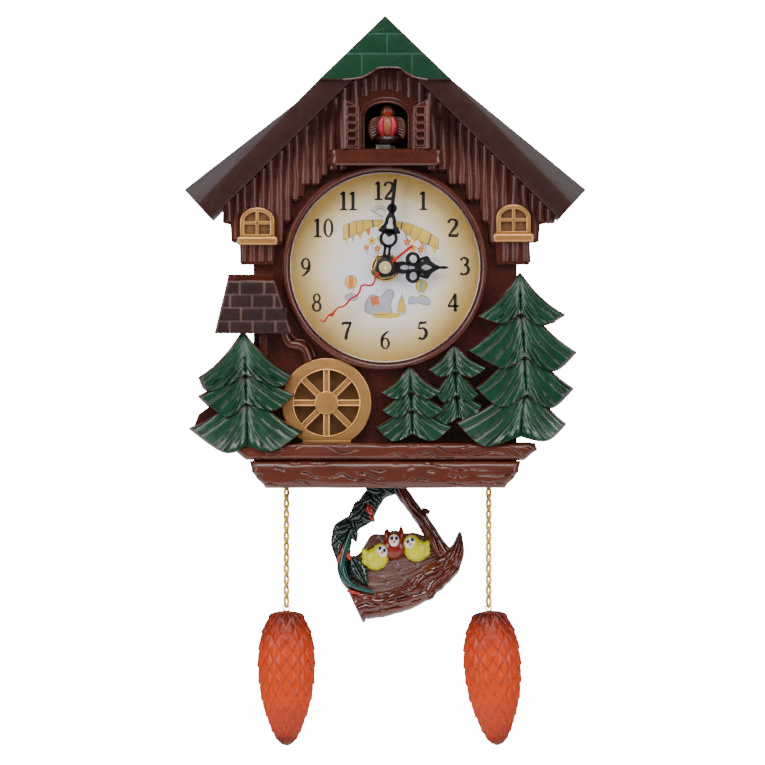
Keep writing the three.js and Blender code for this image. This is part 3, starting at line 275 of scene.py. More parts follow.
class Solid:
    """Points in mm from the dial's centre, with faces and a material for each face."""

    def __init__(self, *materials):
        self.points, self.faces, self.slots = [], [], []
        self.materials = materials

    def add(self, points, faces, slot=0):
        start = len(self.points)
        self.points += [Vector(p) for p in points]
        self.faces += [[start + i for i in face] for face in faces]
        self.slots += [slot] * len(faces)
        return start

    def grid(self, rows, slot=0, wrap_rows=False, wrap_columns=False):
        count, width = len(rows), len(rows[0])
        faces = []
        for i in range(count - (not wrap_rows)):
            for j in range(width - (not wrap_columns)):
                below, right = (i + 1) % count, (j + 1) % width
                faces.append([i * width + j, below * width + j, below * width + right, i * width + right])
        return self.add([p for row in rows for p in row], faces, slot)

    def barrel(self, rows, slot=0, ends=None):
        """A surface whose rows are rings of points, with a face over the first and the last."""
        width, last = len(rows[0]), (len(rows) - 1) * len(rows[0])
        start = self.grid(rows, slot, wrap_columns=True)
        for ring in (range(start, start + width), range(start + last + width - 1, start + last - 1, -1)):
            self.faces.append(list(ring))
        self.slots += ends or [slot, slot]

    def relief(self, rows, back, slot=0):
        """A front surface of rows of points, closed down to the plane y = back."""
        count, width = len(rows), len(rows[0])
        start = self.grid(rows, slot)
        edge = list(range(width))
        edge += [i * width + width - 1 for i in range(1, count)]
        edge += [(count - 1) * width + j for j in range(width - 2, -1, -1)]
        edge += [i * width for i in range(count - 2, 0, -1)]
        low = self.add([(self.points[start + e].x, back, self.points[start + e].z) for e in edge], [])
        number = len(edge)
        for i in range(number):
            following = (i + 1) % number
            self.faces.append([start + edge[i], start + edge[following], low + following, low + i])
        self.faces.append([low + i for i in range(number)])
        self.slots += [slot] * (number + 1)

    def tube(self, path, radii, sides=12, slot=0, closed=False):
        """A round tube along a path; radii is one radius, or one for each of its points."""
        path = [Vector(p) for p in path]
        radii = [radii] * len(path) if isinstance(radii, (int, float)) else radii
        rows, side = [], None
        for i, point in enumerate(path):
            before = path[i - 1] if i or closed else point
            after = path[(i + 1) % len(path)] if i < len(path) - 1 or closed else point
            along = (after - before).normalized()
            start = side or (Vector((0, 1, 0)) if abs(along.y) < 0.9 else Vector((1, 0, 0)))
            side = (start - along * start.dot(along)).normalized()
            other = along.cross(side)
            rows.append([
                point + (side * math.cos(a) + other * math.sin(a)) * radii[i] for a in angles(sides)
            ])
        if closed:
            self.grid(rows, slot, wrap_rows=True, wrap_columns=True)
        else:
            self.barrel(rows, slot)

    def lathe(self, profile, sides=64, slot=0, centre=(0, 0, 0), upright=False):
        """[radius, height] points turned about y, or about z when upright."""
        rows = []
        for radius, height in profile:
            ring = []
            for a in angles(sides):
                x, other = radius * math.cos(a), radius * math.sin(a)
                offset = (x, other, height) if upright else (x, height, other)
                ring.append(Vector(centre) + Vector(offset))
            rows.append(ring)
        if profile[0] == profile[-1]:
            self.grid(rows[:-1], slot, wrap_rows=True, wrap_columns=True)
        else:
            self.barrel(rows, slot)

    def ellipsoid(self, centre, size, slot=0, turn=0.0, rings=14, sides=24):
        """size is the three half axes; turn is in degrees about y, clockwise from the front."""
        spin = Matrix.Rotation(math.radians(turn), 3, "Y")
        rows = []
        for i in range(rings + 1):
            polar = math.pi * (i + 0.02) / (rings + 0.04)
            rows.append([
                Vector(centre) + spin @ Vector((
                    size[0] * math.sin(polar) * math.cos(a),
                    size[1] * math.sin(polar) * math.sin(a),
                    size[2] * math.cos(polar),
                ))
                for a in angles(sides)
            ])
        self.barrel(rows, slot)

    def plate(self, outlines, front, back, bevel=0.3, slot=0):
        """A flat plate with holes and a rounded edge; the first outline is the outside."""
        curve = bpy.data.curves.new("outline", "CURVE")
        curve.dimensions = "2D"
        curve.fill_mode = "BOTH"
        curve.extrude = max((back - front) / 2 - bevel, 0.001)
        curve.bevel_depth = bevel
        curve.bevel_resolution = 2
        curve.offset = -bevel
        for outline in outlines:
            path = curve.splines.new("POLY")
            path.points.add(len(outline) - 1)
            for point, (x, z) in zip(path.points, outline):
                point.co = (x, z, 0, 1)
            path.use_cyclic_u = True
        made = add_object("outline", curve)
        mesh = bpy.data.meshes.new_from_object(made.evaluated_get(bpy.context.evaluated_depsgraph_get()))
        middle = (front + back) / 2
        points = [(v.co.x, middle - v.co.z, v.co.y) for v in mesh.vertices]
        self.add(points, [list(p.vertices) for p in mesh.polygons], slot)
        bpy.data.objects.remove(made)
        bpy.data.curves.remove(curve)
        bpy.data.meshes.remove(mesh)

    def piece(self, name, body, replaces=(), smooth=35, slot_name=None):
        """The finished object on its body; edges sharper than smooth degrees stay sharp."""
        mesh = bpy.data.meshes.new(name)
        mesh.from_pydata([to_frame(p) for p in self.points], [], self.faces)
        for material in self.materials:
            mesh.materials.append(material)
        for polygon, slot in zip(mesh.polygons, self.slots):
            polygon.material_index = slot
        made = bmesh.new()
        made.from_mesh(mesh)
        bmesh.ops.remove_doubles(made, verts=made.verts, dist=1e-7)
        bmesh.ops.recalc_face_normals(made, faces=made.faces)
        made.to_mesh(mesh)
        made.free()
        mesh.shade_smooth()
        mesh.set_sharp_from_angle(angle=math.radians(smooth))
        obj = add_object(name, mesh)
        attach(obj, body)
        if replaces:
            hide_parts(*replaces)
        return obj


def spline(points, steps=8, closed=False):
    """A smooth curve through points, as a list of points."""
    points = [Vector(p) for p in points]
    count = len(points)
    spans = count if closed else count - 1
    out = []
    for i in range(spans):
        near = [i + k if closed else min(max(i + k, 0), count - 1) for k in (-1, 0, 1, 2)]
        p = [points[n % count] for n in near]
        for s in range(steps):
            t = s / steps
            out.append(0.5 * (
                2 * p[1] + (p[2] - p[0]) * t + (2 * p[0] - 5 * p[1] + 4 * p[2] - p[3]) * t * t
                + (3 * p[1] - 3 * p[2] + p[3] - p[0]) * t ** 3
            ))
    return out if closed else out + [points[-1]]


def flat(points):
    return [(p[0], p[1]) for p in points]


def spline_xz(points, steps=8, closed=False, y=0):
    """A smooth curve through (x, z) points at one depth."""
    return spline([(x, y, z) for x, z in points], steps, closed)


def smooth_outline(points, steps=6):
    return flat(spline([(x, z, 0) for x, z in points], steps, closed=True))


def rectangle(x_low, x_high, z_low, z_high):
    return [(x_low, z_low), (x_high, z_low), (x_high, z_high), (x_low, z_high)]


def ellipse(x, z, half_width, half_height, steps=24, turn=0.0):
    """turn is in degrees, clockwise from the front."""
    c, s = math.cos(math.radians(turn)), math.sin(math.radians(turn))
    out = []
    for a in angles(steps):
        u, v = half_width * math.cos(a), half_height * math.sin(a)
        out.append((x + u * c + v * s, z - u * s + v * c))
    return out


def ribbon(points, closed=False):
    """The outline of a stroke; each point is (x, z, width)."""
    middle = spline(points, 6, closed)
    left, right = [], []
    for i, p in enumerate(middle):
        a, b = middle[max(i - 1, 0)], middle[min(i + 1, len(middle) - 1)]
        along = Vector((b.x - a.x, b.y - a.y)).normalized()
        side = Vector((-along.y, along.x)) * p.z / 2
        left.append((p.x + side.x, p.y + side.y))
        right.append((p.x - side.x, p.y - side.y))
    return left + right[::-1]


def rounded(corners, radius, steps=5):
    """A polygon with its corners rounded."""
    out = []
    for i, corner in enumerate(corners):
        here = Vector(corner)
        a = here + (Vector(corners[i - 1]) - here).normalized() * radius
        b = here + (Vector(corners[(i + 1) % len(corners)]) - here).normalized() * radius
        for k in range(steps + 1):
            t = k / steps
            p = a * (1 - t) ** 2 + here * 2 * t * (1 - t) + b * t * t
            out.append((p.x, p.y))
    return out


def dense(points, step=1.2):
    """A closed path of straight runs with a point every step."""
    out = []
    for a, b in zip(points, points[1:] + points[:1]):
        a, b = Vector(a), Vector(b)
        count = max(1, round((b - a).length / step))
        out += [a.lerp(b, k / count) for k in range(count)]
    return out


def grown_outline(outline, amount):
    """An outline moved outwards by amount all round."""
    points = [Vector(p) for p in outline]
    following = points[1:] + points[:1]
    sign = 1 if sum(a.x * b.y - b.x * a.y for a, b in zip(points, following)) > 0 else -1
    out = []
    for before, here, after in zip(points[-1:] + points[:-1], points, following):
        along = (after - before).normalized() if (after - before).length > 1e-9 else Vector((1, 0))
        out.append((here.x + sign * along.y * amount, here.y - sign * along.x * amount))
    return out


def wobble(x, z, scale, seed=0.0):
    return noise.noise(Vector((x * scale, z * scale, seed)))


def bulge(share):
    """A quarter circle's height, from 0 at the rim to 1 where share is 1."""
    return math.sqrt(max(0.0, 1 - (1 - share) ** 2))


def groove_at(phase):
    """1 on each whole number and 0 halfway between."""
    return 1 - abs(math.sin(math.pi * phase))


# ---------------------------------------------------------------- camera and light
def make_camera():
    """Straight on, level with the middle of the clock, as a long lens sees it."""
    view_width, distance = 375.0, 3600.0
    data = bpy.data.cameras.new("camera")
    data.sensor_width = 36
    data.lens = data.sensor_width * distance / view_width
    data.clip_end = 50
    camera = add_object("camera", data)
    camera.location = to_frame((-1.3, -55 - distance, -56.5))
    camera.rotation_euler = (math.pi / 2, 0, 0)
    bpy.context.scene.camera = camera


def softbox(name, place, size, power, colour=(1, 1, 1)):
    """An area light, in metres and watts, aimed at the middle of the clock."""
    data = bpy.data.lights.new(name, "AREA")
    data.shape = "RECTANGLE"
    data.size, data.size_y = size
    data.energy = power
    data.color = colour
    lamp = add_object(name, data)
    lamp.location = place
    lamp.rotation_euler = (to_frame((0, -40, -50)) - Vector(place)).to_track_quat("-Z", "Y").to_euler()


def make_world():
    """Dim in front and brighter behind for reflections, and plain white behind the object."""
    world = bpy.data.worlds.new("studio")
    bpy.context.scene.world = world
    world.use_nodes = True
    tree = world.node_tree
    room = set_sockets(tree.nodes["Background"], Color=(1.0, 0.97, 1.0, 1))
    where = tree.nodes.new("ShaderNodeTexCoord")
    axes = tree.nodes.new("ShaderNodeSeparateXYZ")
    link(tree, where.outputs["Generated"], axes.inputs["Vector"])
    strength = remap(tree, axes.outputs["Y"], From_Min=0.1, From_Max=0.75, To_Min=0.15, To_Max=0.42)
    link(tree, strength, room.inputs["Strength"])
    white = set_sockets(tree.nodes.new("ShaderNodeBackground"), Color=(1, 1, 1, 1), Strength=16.0)
    path = tree.nodes.new("ShaderNodeLightPath")
    mix = tree.nodes.new("ShaderNodeMixShader")
    link(tree, path.outputs["Is Camera Ray"], mix.inputs["Fac"])
    link(tree, room.outputs["Background"], mix.inputs[1])
    link(tree, white.outputs["Background"], mix.inputs[2])
    link(tree, mix.outputs["Shader"], tree.nodes["World Output"].inputs["Surface"])


def make_floor():
    reach, drop = 1.1, -0.75
    corners = [(x, y, drop) for x, y in rectangle(-reach, reach, -reach, reach)]
    mesh = bpy.data.meshes.new("studio_floor")
    mesh.from_pydata(corners, [], [[0, 1, 2, 3]])
    paper = moulded("studio_floor", (0.85, 0.85, 0.85), rough=0.7, mottle=0.01, pits=0.0)
    glow = paper.node_tree.nodes["Principled BSDF"]
    set_sockets(glow, Emission_Color=(1, 1, 1, 1), Emission_Strength=0.8)
    mesh.materials.append(paper)
    add_object("studio_floor", mesh)


def make_stage():
    for side, sign, power in (("left", -1, 30), ("right", 1, 25)):
        softbox(f"{side}_softbox", (1.5 * sign, -1.25, 0.45), (0.7, 1.5), power, (0.97, 0.96, 1.0))
    softbox("top_softbox", (0.0, -1.4, 1.6), (1.4, 0.8), 38)
    softbox("low_softbox", (0.0, -1.2, -1.5), (1.2, 0.5), 8)
    make_world()
    make_floor()


# ---------------------------------------------------------------- chains and cones
CHAIN_WIRE = 0.7        # radius of the bent wire
CHAIN_DIAMETER = 3.2
CHAIN_LINKS = 11
LINK_TWIST = 62         # degrees from a link's middle to its end
LINK_START = 24


def make_chain(side):
    """Twisted curb links: each turns about its own length, so that the next hangs in it."""
    low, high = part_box(f"{side}_chain")
    x = ((low[0] + high[0]) / 2) / MM
    top, bottom = (high[2] - DIAL.z) / MM, (low[2] - DIAL.z) / MM
    pitch = (top - bottom) / CHAIN_LINKS
    half = pitch / 2 + CHAIN_WIRE * 1.3
    chain = Solid(BRASS)
    for i in range(CHAIN_LINKS):
        centre = top - (i + 0.5) * pitch
        loop = []
        for a in angles(28):
            along = half * math.cos(a)
            across = (CHAIN_DIAMETER / 2 - CHAIN_WIRE) * math.sin(a)
            turn = math.radians(LINK_TWIST) * along / half + math.radians(LINK_START)
            loop.append((x + across * math.cos(turn), CORD_Y + across * math.sin(turn), centre + along))
        chain.tube(loop, CHAIN_WIRE, sides=8, closed=True)
    piece = chain.piece(f"{side}_link_chain", f"{side}_pull", [f"{side}_chain"], smooth=60, slot_name="brass")
    route = [to_frame((x, CORD_Y, top - (top - bottom) * k / 20)) for k in range(21)]
    return piece, route


CONE_PROFILE = [
    (1.6, -168.9), (6.6, -170.2), (9.1, -174), (11.6, -180), (13.1, -188), (13.4, -196), (12.8, -205),
    (11.2, -214), (8.7, -222), (5.9, -229), (3.1, -233.6), (0.7, -235.3),
]
CONE_SIDES = 224
CONE_SCALES = 14        # round the cone
CONE_ARC = 76           # length of the profile, over which the scales fade out
SCALE_LENGTH = 8.4
SCALE_EDGE = 0.16       # share of a scale over which its edge steps up
# Share of a scale, next to its stepped edge, painted darker as the shade line under the scale above.
SHADE_LINE_WIDTH = 0.09
CONE_TILT = {"left": 0.0, "right": 3.7}


def scale_lift(u, v):
    """How far a scale stands out where its slanting coordinates are u and v, both 0 to 1."""
    droop = (u + 1 - v) / 2
    step = math.sqrt(min(1.0, (1 - u) / SCALE_EDGE, v / SCALE_EDGE))
    keel = 1 - abs(u + v - 1)
    return step * (1.05 * droop * (0.55 + 0.45 * keel) + 0.25 * keel ** 3)


def make_cone(side):
    """A pine cone whose staggered keeled scales overlap, each with its lower tip standing proud."""
    low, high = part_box(f"{side}_cone")
    pivot = Vector(next(j for j in frame["joints"] if j["name"] == f"{side}_cone_swing")["pos_m"])
    pivot = (pivot - DIAL) / MM
    seed = -1 if side == "left" else 1
    spin = Matrix.Rotation(-math.radians(CONE_TILT[side]), 3, "Y")
    curve = spline_xz(CONE_PROFILE, 16)
    rows, joints, travelled, last = [], [], 0.0, curve[0]
    for p in curve:
        travelled += (p - last).length
        last = p
        row_number = travelled / SCALE_LENGTH
        fade = min(1.0, travelled / 5, max(0.0, (CONE_ARC - travelled) / 6))
        ring = []
        for k, a in enumerate(angles(CONE_SIDES)):
            column = CONE_SCALES * k / CONE_SIDES
            u, v = (column + row_number) % 1.0, (column - row_number) % 1.0
            # Faces next to each scale's stepped edge are marked for the darker amber of painted shade.
            joints.append(min(1 - u, v) < SHADE_LINE_WIDTH and fade > 0.3)
            radius = p.x + fade * scale_lift(u, v) + 0.1 * wobble(a * 6, p.z, 0.5, seed)
            ring.append(pivot + spin @ Vector((radius * math.cos(a), radius * math.sin(a), p.z - pivot.z)))
        rows.append(ring)
    cone = Solid(cone_amber(f"{side}_cone_amber", high[2], low[2]), BRASS, ROOF_BROWN, CONE_PAINTED_SHADE)
    cone.barrel(rows, ends=[0, 2])
    cone.slots[:-2] = [3 if joint else 0 for joint in joints[:-CONE_SIDES]]
    eye = [(pivot.x + 1.5 * math.cos(a), CORD_Y, pivot.z + 0.1 + 1.5 * math.sin(a)) for a in angles(20)]
    cone.tube(eye, 0.34, sides=8, slot=1, closed=True)
    cone.piece(f"{side}_pine_cone", f"{side}_weight", [f"{side}_cone"], smooth=40, slot_name="cone_plastic")


def make_weights():
    for side in SIDES:
        chain, route = make_chain(side)
        make_cone(side)


# ---------------------------------------------------------------- roof and ridge cap
APEX = 123.1
RIDGE_UNDER = 107.7
CAP_X, CAP_Z = 32.6, 91.7
EAVE = (92.1, 31.5)
EAVE_FOOT = (85.4, 23.6)
EAVE_BACK = (100.0, 39.4)
SLOPE = (RIDGE_UNDER - EAVE_FOOT[1]) / EAVE_FOOT[0]


def gable_line(x, inset=0.3):
    return RIDGE_UNDER - inset * 1.4 - SLOPE * abs(x)


def roof_section(y, eave, foot, inset=0.0):
    half = [(0, APEX - inset * 1.4), (CAP_X, CAP_Z - inset * 1.4), eave, foot]
    outline = half + [(0, RIDGE_UNDER + inset * 1.4)] + [(-x, z) for x, z in half[:0:-1]]
    return [Vector((x, y, z)) for x, z in outline]


def bevelled(piece, width):
    """Rounds a piece's sharp edges; width is in mm."""
    modifier = piece.modifiers.new("bevel", "BEVEL")
    modifier.width = width * MM
    modifier.segments = 3
    modifier.limit_method = "ANGLE"
    modifier.angle_limit = math.radians(25)
    modifier.harden_normals = False
    made = bpy.data.meshes.new_from_object(piece.evaluated_get(bpy.context.evaluated_depsgraph_get()))
    piece.modifiers.clear()
    piece.data = made
    made.shade_smooth()
    made.set_sharp_from_angle(angle=math.radians(40))


def make_roof():
    """Two hollow slopes that flare towards the wall, open at the back."""
    wall, back = 2.2, level("roof_shell", 1, 1)
    foot = (EAVE_FOOT[0] - 0.2, EAVE_FOOT[1] + wall * 1.6)
    roof = Solid(ROOF_BROWN)
    roof.barrel([
        roof_section(ROOF_Y, EAVE, EAVE_FOOT),
        roof_section(back, EAVE_BACK, EAVE_FOOT),
        roof_section(back, (EAVE_BACK[0] - wall * 2, EAVE_BACK[1] - wall), foot, wall),
        roof_section(ROOF_Y + wall, (EAVE[0] - wall * 1.5, EAVE[1]), foot, wall),
    ])
    bevelled(roof.piece("roof_slopes", "clock", ["roof_shell"], slot_name="roof_plastic"), 0.55)


CAP_ROWS = [(APEX + 3, 114.3, []), (114.3, 104.5, [0.9]), (104.5, 80.0, [-11.4, 13.1])]
CAP_LOW = [
    (-CAP_X, CAP_Z), (-20.7, 91.7), (-14.2, 92.3), (-10.6, 93.2), (-6.5, 95.4), (-3, 97.5), (6.6, 97.5),
    (10, 95.2), (14.1, 93.0), (20.7, 91.7), (CAP_X, CAP_Z),
]


def cap_low(x):
    for (x0, z0), (x1, z1) in zip(CAP_LOW, CAP_LOW[1:]):
        if x0 <= x <= x1:
            return z0 + (z1 - z0) * (x - x0) / (x1 - x0)
    return CAP_Z


def cap_tile(left, right, low, high, inset):
    """One tile of the cap between two joints, kept inside the slopes and the arched edge."""
    steps = 24
    span = [left + (right - left) * k / steps for k in range(steps + 1)]
    slope = (APEX - CAP_Z) / CAP_X
    top, bottom = [], []
    for x in span:
        roof = APEX - slope * abs(x) - inset * 1.9
        z_top, z_low = min(high - inset, roof), max(low + inset, cap_low(x) + inset * 1.4)
        if z_top > z_low:
            top.append((x, z_top))
            bottom.append((x, z_low))
    return bottom + top[::-1]


def make_cap():
    front = ROOF_Y - 2.35
    cap = Solid(GROUT_GREEN, CAP_GREEN, BROWN)
    outline = [(0, APEX)] + [(x, z) for x, z in CAP_LOW[::-1]]
    cap.plate([outline], front + 0.55, ROOF_Y - 0.15, bevel=0.2, slot=2)
    cap.plate([cap_tile(-CAP_X, CAP_X, 0, APEX + 9, 0.4)], front + 0.35, front + 1.0, bevel=0.1, slot=0)
    for high, low, joints in CAP_ROWS:
        edges = [-CAP_X] + joints + [CAP_X]
        for left, right in zip(edges, edges[1:]):
            tile = cap_tile(left + 0.3, right - 0.3, low, high, 0.32)
            cap.plate([tile], front, front + 1.0, bevel=0.18, slot=1)
    rim = [(x, front + 0.5, z) for x, z in CAP_LOW[1:-1]]
    cap.tube(spline(rim, 4), 0.5, sides=8, slot=2)
    under = [(x, z - 0.2) for x, z in CAP_LOW[2:-2]]
    soffit = [(-14.2, gable_line(14.2))] + under + [(14.1, gable_line(14.1)), (0, gable_line(0))]
    cap.plate([soffit], ROOF_Y - 0.8, PLANK_Y - 0.3, bevel=0.3, slot=2)
    cap.piece("ridge_tiles", "clock", ["ridge_cap"], slot_name="green_paint")


# ---------------------------------------------------------------- gable planks and doorway
DOOR_X = 0.5
DOOR_HALF = 10.6
DOOR_SILL = 58.4
DOOR_SPRING = 74.1
DOOR_RISE = 6.8
PLANK_STEPS = [
    (19.7, 50.2), (29.6, 46.6), (31.4, 44.0), (39.4, 39.6), (46.7, 32.0), (50.9, 21.5), (54.6, 11.0),
    (71.0, 1.3), (76.0, 12.4),
]
OUTER_PLANK_LOW = 21.5
PLANK_REACH = 79.2
ARCH_REACH = 14.6       # half the width of the planks cut to the doorway's arch


def plank_bottom(x):
    """Where the plank at x ends, in steps that climb towards the middle."""
    for limit, z in PLANK_STEPS:
        if abs(x) < limit:
            return z
    return OUTER_PLANK_LOW


def split_plank(solid, x, width, low, high, front, back, seed):
    """A rounded bar whose sides and crown wander, with a rounded foot."""
    rows = []
    steps = max(8, int((high - low) / 1.6))
    profile = [(-math.cos(a) / 2, math.sin(a) ** 0.85) for a in (math.pi * k / 12 for k in range(13))]
    for i in range(steps + 1):
        z = high + (low - high) * i / steps
        foot = bulge(min(1.0, (z - low) / 1.3 + 0.04))
        centre = x + 0.45 * wobble(x, z, 0.09, seed)
        across = width * (0.55 + 0.45 * foot) * (1 + 0.16 * wobble(x, z, 0.13, seed + 5))
        depth = (back - front) * foot * (1 + 0.12 * wobble(x, z, 0.1, seed + 9))
        lean = 0.16 * wobble(x, z, 0.07, seed + 3)
        rows.append([(centre + (u + lean * v) * across, back - depth * v, z) for u, v in profile])
    solid.barrel(rows)


def make_planks():
    planks = Solid(PLANK_BROWN)
    x = -PLANK_REACH
    while x < PLANK_REACH - 0.2:
        width = rng.uniform(3.6, 5.7)
        centre = x + width / 2
        low = plank_bottom(centre)
        high = gable_line(centre) + 1.0
        proud = PLANK_Y - rng.uniform(0.5, 1.35)
        if abs(centre - DOOR_X) < ARCH_REACH:
            rise = math.sqrt(1 - ((centre - DOOR_X) / ARCH_REACH) ** 2)
            low = DOOR_SPRING + 2.6 + (DOOR_RISE + 2.6) * rise
        if abs(centre) < 16:
            high = min(high, cap_low(centre) - 0.6)
        if high - low > 2:
            split_plank(planks, centre, width * 1.12, low, high, proud, SHELL_Y - 0.05, rng.uniform(0, 50))
        x += width
    planks.piece("gable_planks", "clock", slot_name="brown_plastic", smooth=50)


def arch_outline(x, half, low, spring, rise, steps=16):
    """A doorway's outline, anticlockwise from its lower left corner."""
    points = [(x - half, low), (x + half, low)]
    for k in range(steps + 1):
        a = math.pi * k / steps
        points.append((x + half * math.cos(a), spring + rise * math.sin(a)))
    return points


def door_arch(offset, extra_rise):
    """The doorway's arch grown by offset, from its left foot over to its right one."""
    outline = arch_outline(DOOR_X, DOOR_HALF + offset, DOOR_SILL, DOOR_SPRING, DOOR_RISE + extra_rise, 18)
    return outline[:1] + outline[:1:-1] + outline[1:2]


def make_doorway():
    surround = Solid(BROWN)
    inner, outer = door_arch(0.1, 0.1), door_arch(3.0, 3.6)
    surround.plate([outer + inner[::-1]], PLANK_Y + 0.1, SHELL_Y, bevel=0.25)
    for offset, radius in ((0.5, 0.55), (2.4, 0.65)):
        path = [(x, PLANK_Y + radius - 0.3, z) for x, z in door_arch(offset, offset)]
        surround.tube(path, radius, sides=10)
    surround.piece("doorway_frame", "clock", slot_name="brown_plastic")


BALCONY_LEVELS = [      # share of the deck's height, and how far its edge is set in
    (0.0, 3.0), (0.0, 0.8), (0.08, 0.2), (0.2, 0.0), (0.42, 0.35), (0.6, 0.35), (0.78, 0.0), (0.92, 0.2),
    (1.0, 0.9), (1.0, 3.0),
]


def make_balcony():
    """A rounded deck with a hollow moulded along its edge."""
    half, depth, corner = 27.9, 10.9, 4.0
    low, high = 49.9, 57.7
    back = PLANK_Y - 0.3
    rows = []
    for share, inset in BALCONY_LEVELS:
        ring = [(half - inset, 0.0)]
        for a in (math.pi / 2 * k / 8 for k in range(9)):
            x = half - inset - corner + corner * math.cos(a)
            ring.append((x, depth - inset - corner + corner * math.sin(a)))
        ring += [(-x, d) for x, d in ring[::-1]]
        rows.append([(DOOR_X + x, back - d, low + (high - low) * share) for x, d in ring])
    deck = Solid(BROWN)
    deck.barrel(rows)
    deck.piece("balcony_deck", "clock", ["balcony"], slot_name="brown_plastic")


SHUTTER_OPEN = 120
HINGE_HALF = 13.9
HINGE_Y = -50.6
LIGHTS = 5


def make_shutter(side):
    """A leaf with five rounded lights in raised frames on both faces, drawn shut and then opened; the frames
    are a lighter brown as painted highlight, and a dark panel across the lights is painted shade.
    """
    sign = -1 if side == "left" else 1
    width, low, hinge_high, free_high = 13.4, 57.95, 79.0, 82.1
    leaf = Solid(BROWN, SHUTTER_PAINTED_HIGHLIGHT, ROOF_BROWN)
    outline = [(0.4, low), (width, low), (width, free_high), (0.4, hinge_high)]
    lights = []
    for k in range(LIGHTS):
        base = low + 1.9 + 3.85 * k
        height = 2.6 if k < LIGHTS - 1 else 3.1
        lights.append(rounded(rectangle(2.9, width - 2.3, base, base + height), 1.0, 4))
    leaf.plate([outline] + lights, -0.5, 0.5, bevel=0.18)
    # A dark panel in the roof's darker brown across the lights: painted shade in them.
    leaf.plate([outline], -0.2, 0.2, bevel=0.1, slot=2)
    right = width - 0.5
    edge = [(0.9, low + 0.5), (right, low + 0.5), (right, free_high - 0.7), (0.9, hinge_high - 0.4)]
    # The raised frames and the edge tube take the lighter brown in slot 1, as painted highlight.
    for face in (-0.55, 0.55):
        for light in lights:
            rim = [(x, face, z) for x, z in grown_outline(light, 0.3)]
            leaf.tube(rim, 0.36, sides=8, slot=1, closed=True)
        leaf.tube(dense([(x, face, z) for x, z in edge]), 0.42, sides=8, slot=1, closed=True)
    leaf.tube([(0, 0, low), (0, 0, hinge_high)], 0.95, sides=14)
    turn = Matrix.Rotation(math.radians(SHUTTER_OPEN * sign), 3, "Z")
    hinge = Vector((DOOR_X + sign * HINGE_HALF, HINGE_Y, 0))
    leaf.points = [hinge + turn @ Vector((-sign * p.x, p.y, p.z)) for p in leaf.points]
    leaf.piece(f"{side}_louvred_shutter", f"{side}_door", [f"{side}_shutter"], slot_name="brown_plastic")


# ---------------------------------------------------------------- bird
def swelling(count, base, extra, start=0.0, span=1.0):
    """Radii that swell from base by up to extra along count points."""
    return [base + extra * math.sin(math.pi * (start + span * i / (count - 1))) for i in range(count)]


def make_bird():
    """A generic small bird: tan front, crimson stripes, barred wings, on a dark nest stand."""
    x, y = DOOR_X + 0.6, -41.0
    head_x = x + 0.2
    bird = Solid(BIRD_TAN, BIRD_HEAD, BIRD_RED, BIRD_WING, ROOF_BROWN, RED, INK)
    bird.ellipsoid((x, y, 69.4), (5.6, 6.4, 7.4), 0)
    bird.ellipsoid((head_x, y - 1.6, 76.6), (3.8, 3.9, 3.9), 1, rings=20, sides=32)
    for sign in (-1, 1):
        stripe = spline([
            (x + sign * out, y - near, z)
            for out, near, z in ((2.2, 5.0, 73.6), (3.4, 5.7, 70.4), (3.3, 5.9, 67.4), (2.4, 5.5, 64.6))
        ], 6)
        bird.tube(stripe, swelling(len(stripe), 0.9, 0.7), 12, 2)
        for k in range(7):
            share = k / 6
            feather = spline([
                (x + sign * (4.2 + 0.5 * share), y - 2.0, 74.0 - 1.3 * k),
                (x + sign * (7.6 + 1.0 * math.sin(math.pi * share)), y - 2.6, 72.2 - 1.35 * k),
                (x + sign * (8.4 - 1.6 * share), y - 1.8, 69.4 - 1.1 * k),
            ], 5)
            count = len(feather)
            bird.tube(feather, swelling(count, 0.25, 0.75, 0.1, 0.8 * (count - 1) / count), 10, 3)
        bird.ellipsoid((head_x + sign * 2.3, y - 4.6, 77.4), (0.42, 0.42, 0.42), 6, rings=8, sides=12)
    beak = [(head_x, y - 4.8, 76.0), (head_x, y - 6.4, 75.6), (head_x, y - 7.8, 75.0)]
    bird.tube(beak, [1.15, 0.8, 0.12], 12, 5)
    stand = [(0.01, 60.9), (5.0, 60.9), (7.0, 61.6), (7.9, 63.2), (7.4, 64.4), (5.8, 65.0), (0.01, 65.4)]
    bird.lathe(stand, 40, 4, (x, y, 0), upright=True)
    for a in angles(16):
        twig = [(x + 7.3 * math.cos(a + d), y + 7.3 * math.sin(a + d), 62.2 + 2.2 * t)
                for t, d in ((0, 0), (0.5, 0.22), (1, 0.42))]
        bird.tube(twig, 0.45, 6, 4)
    bird.piece("perched_bird", "bird", ["cuckoo_bird"], slot_name="bird_paint")


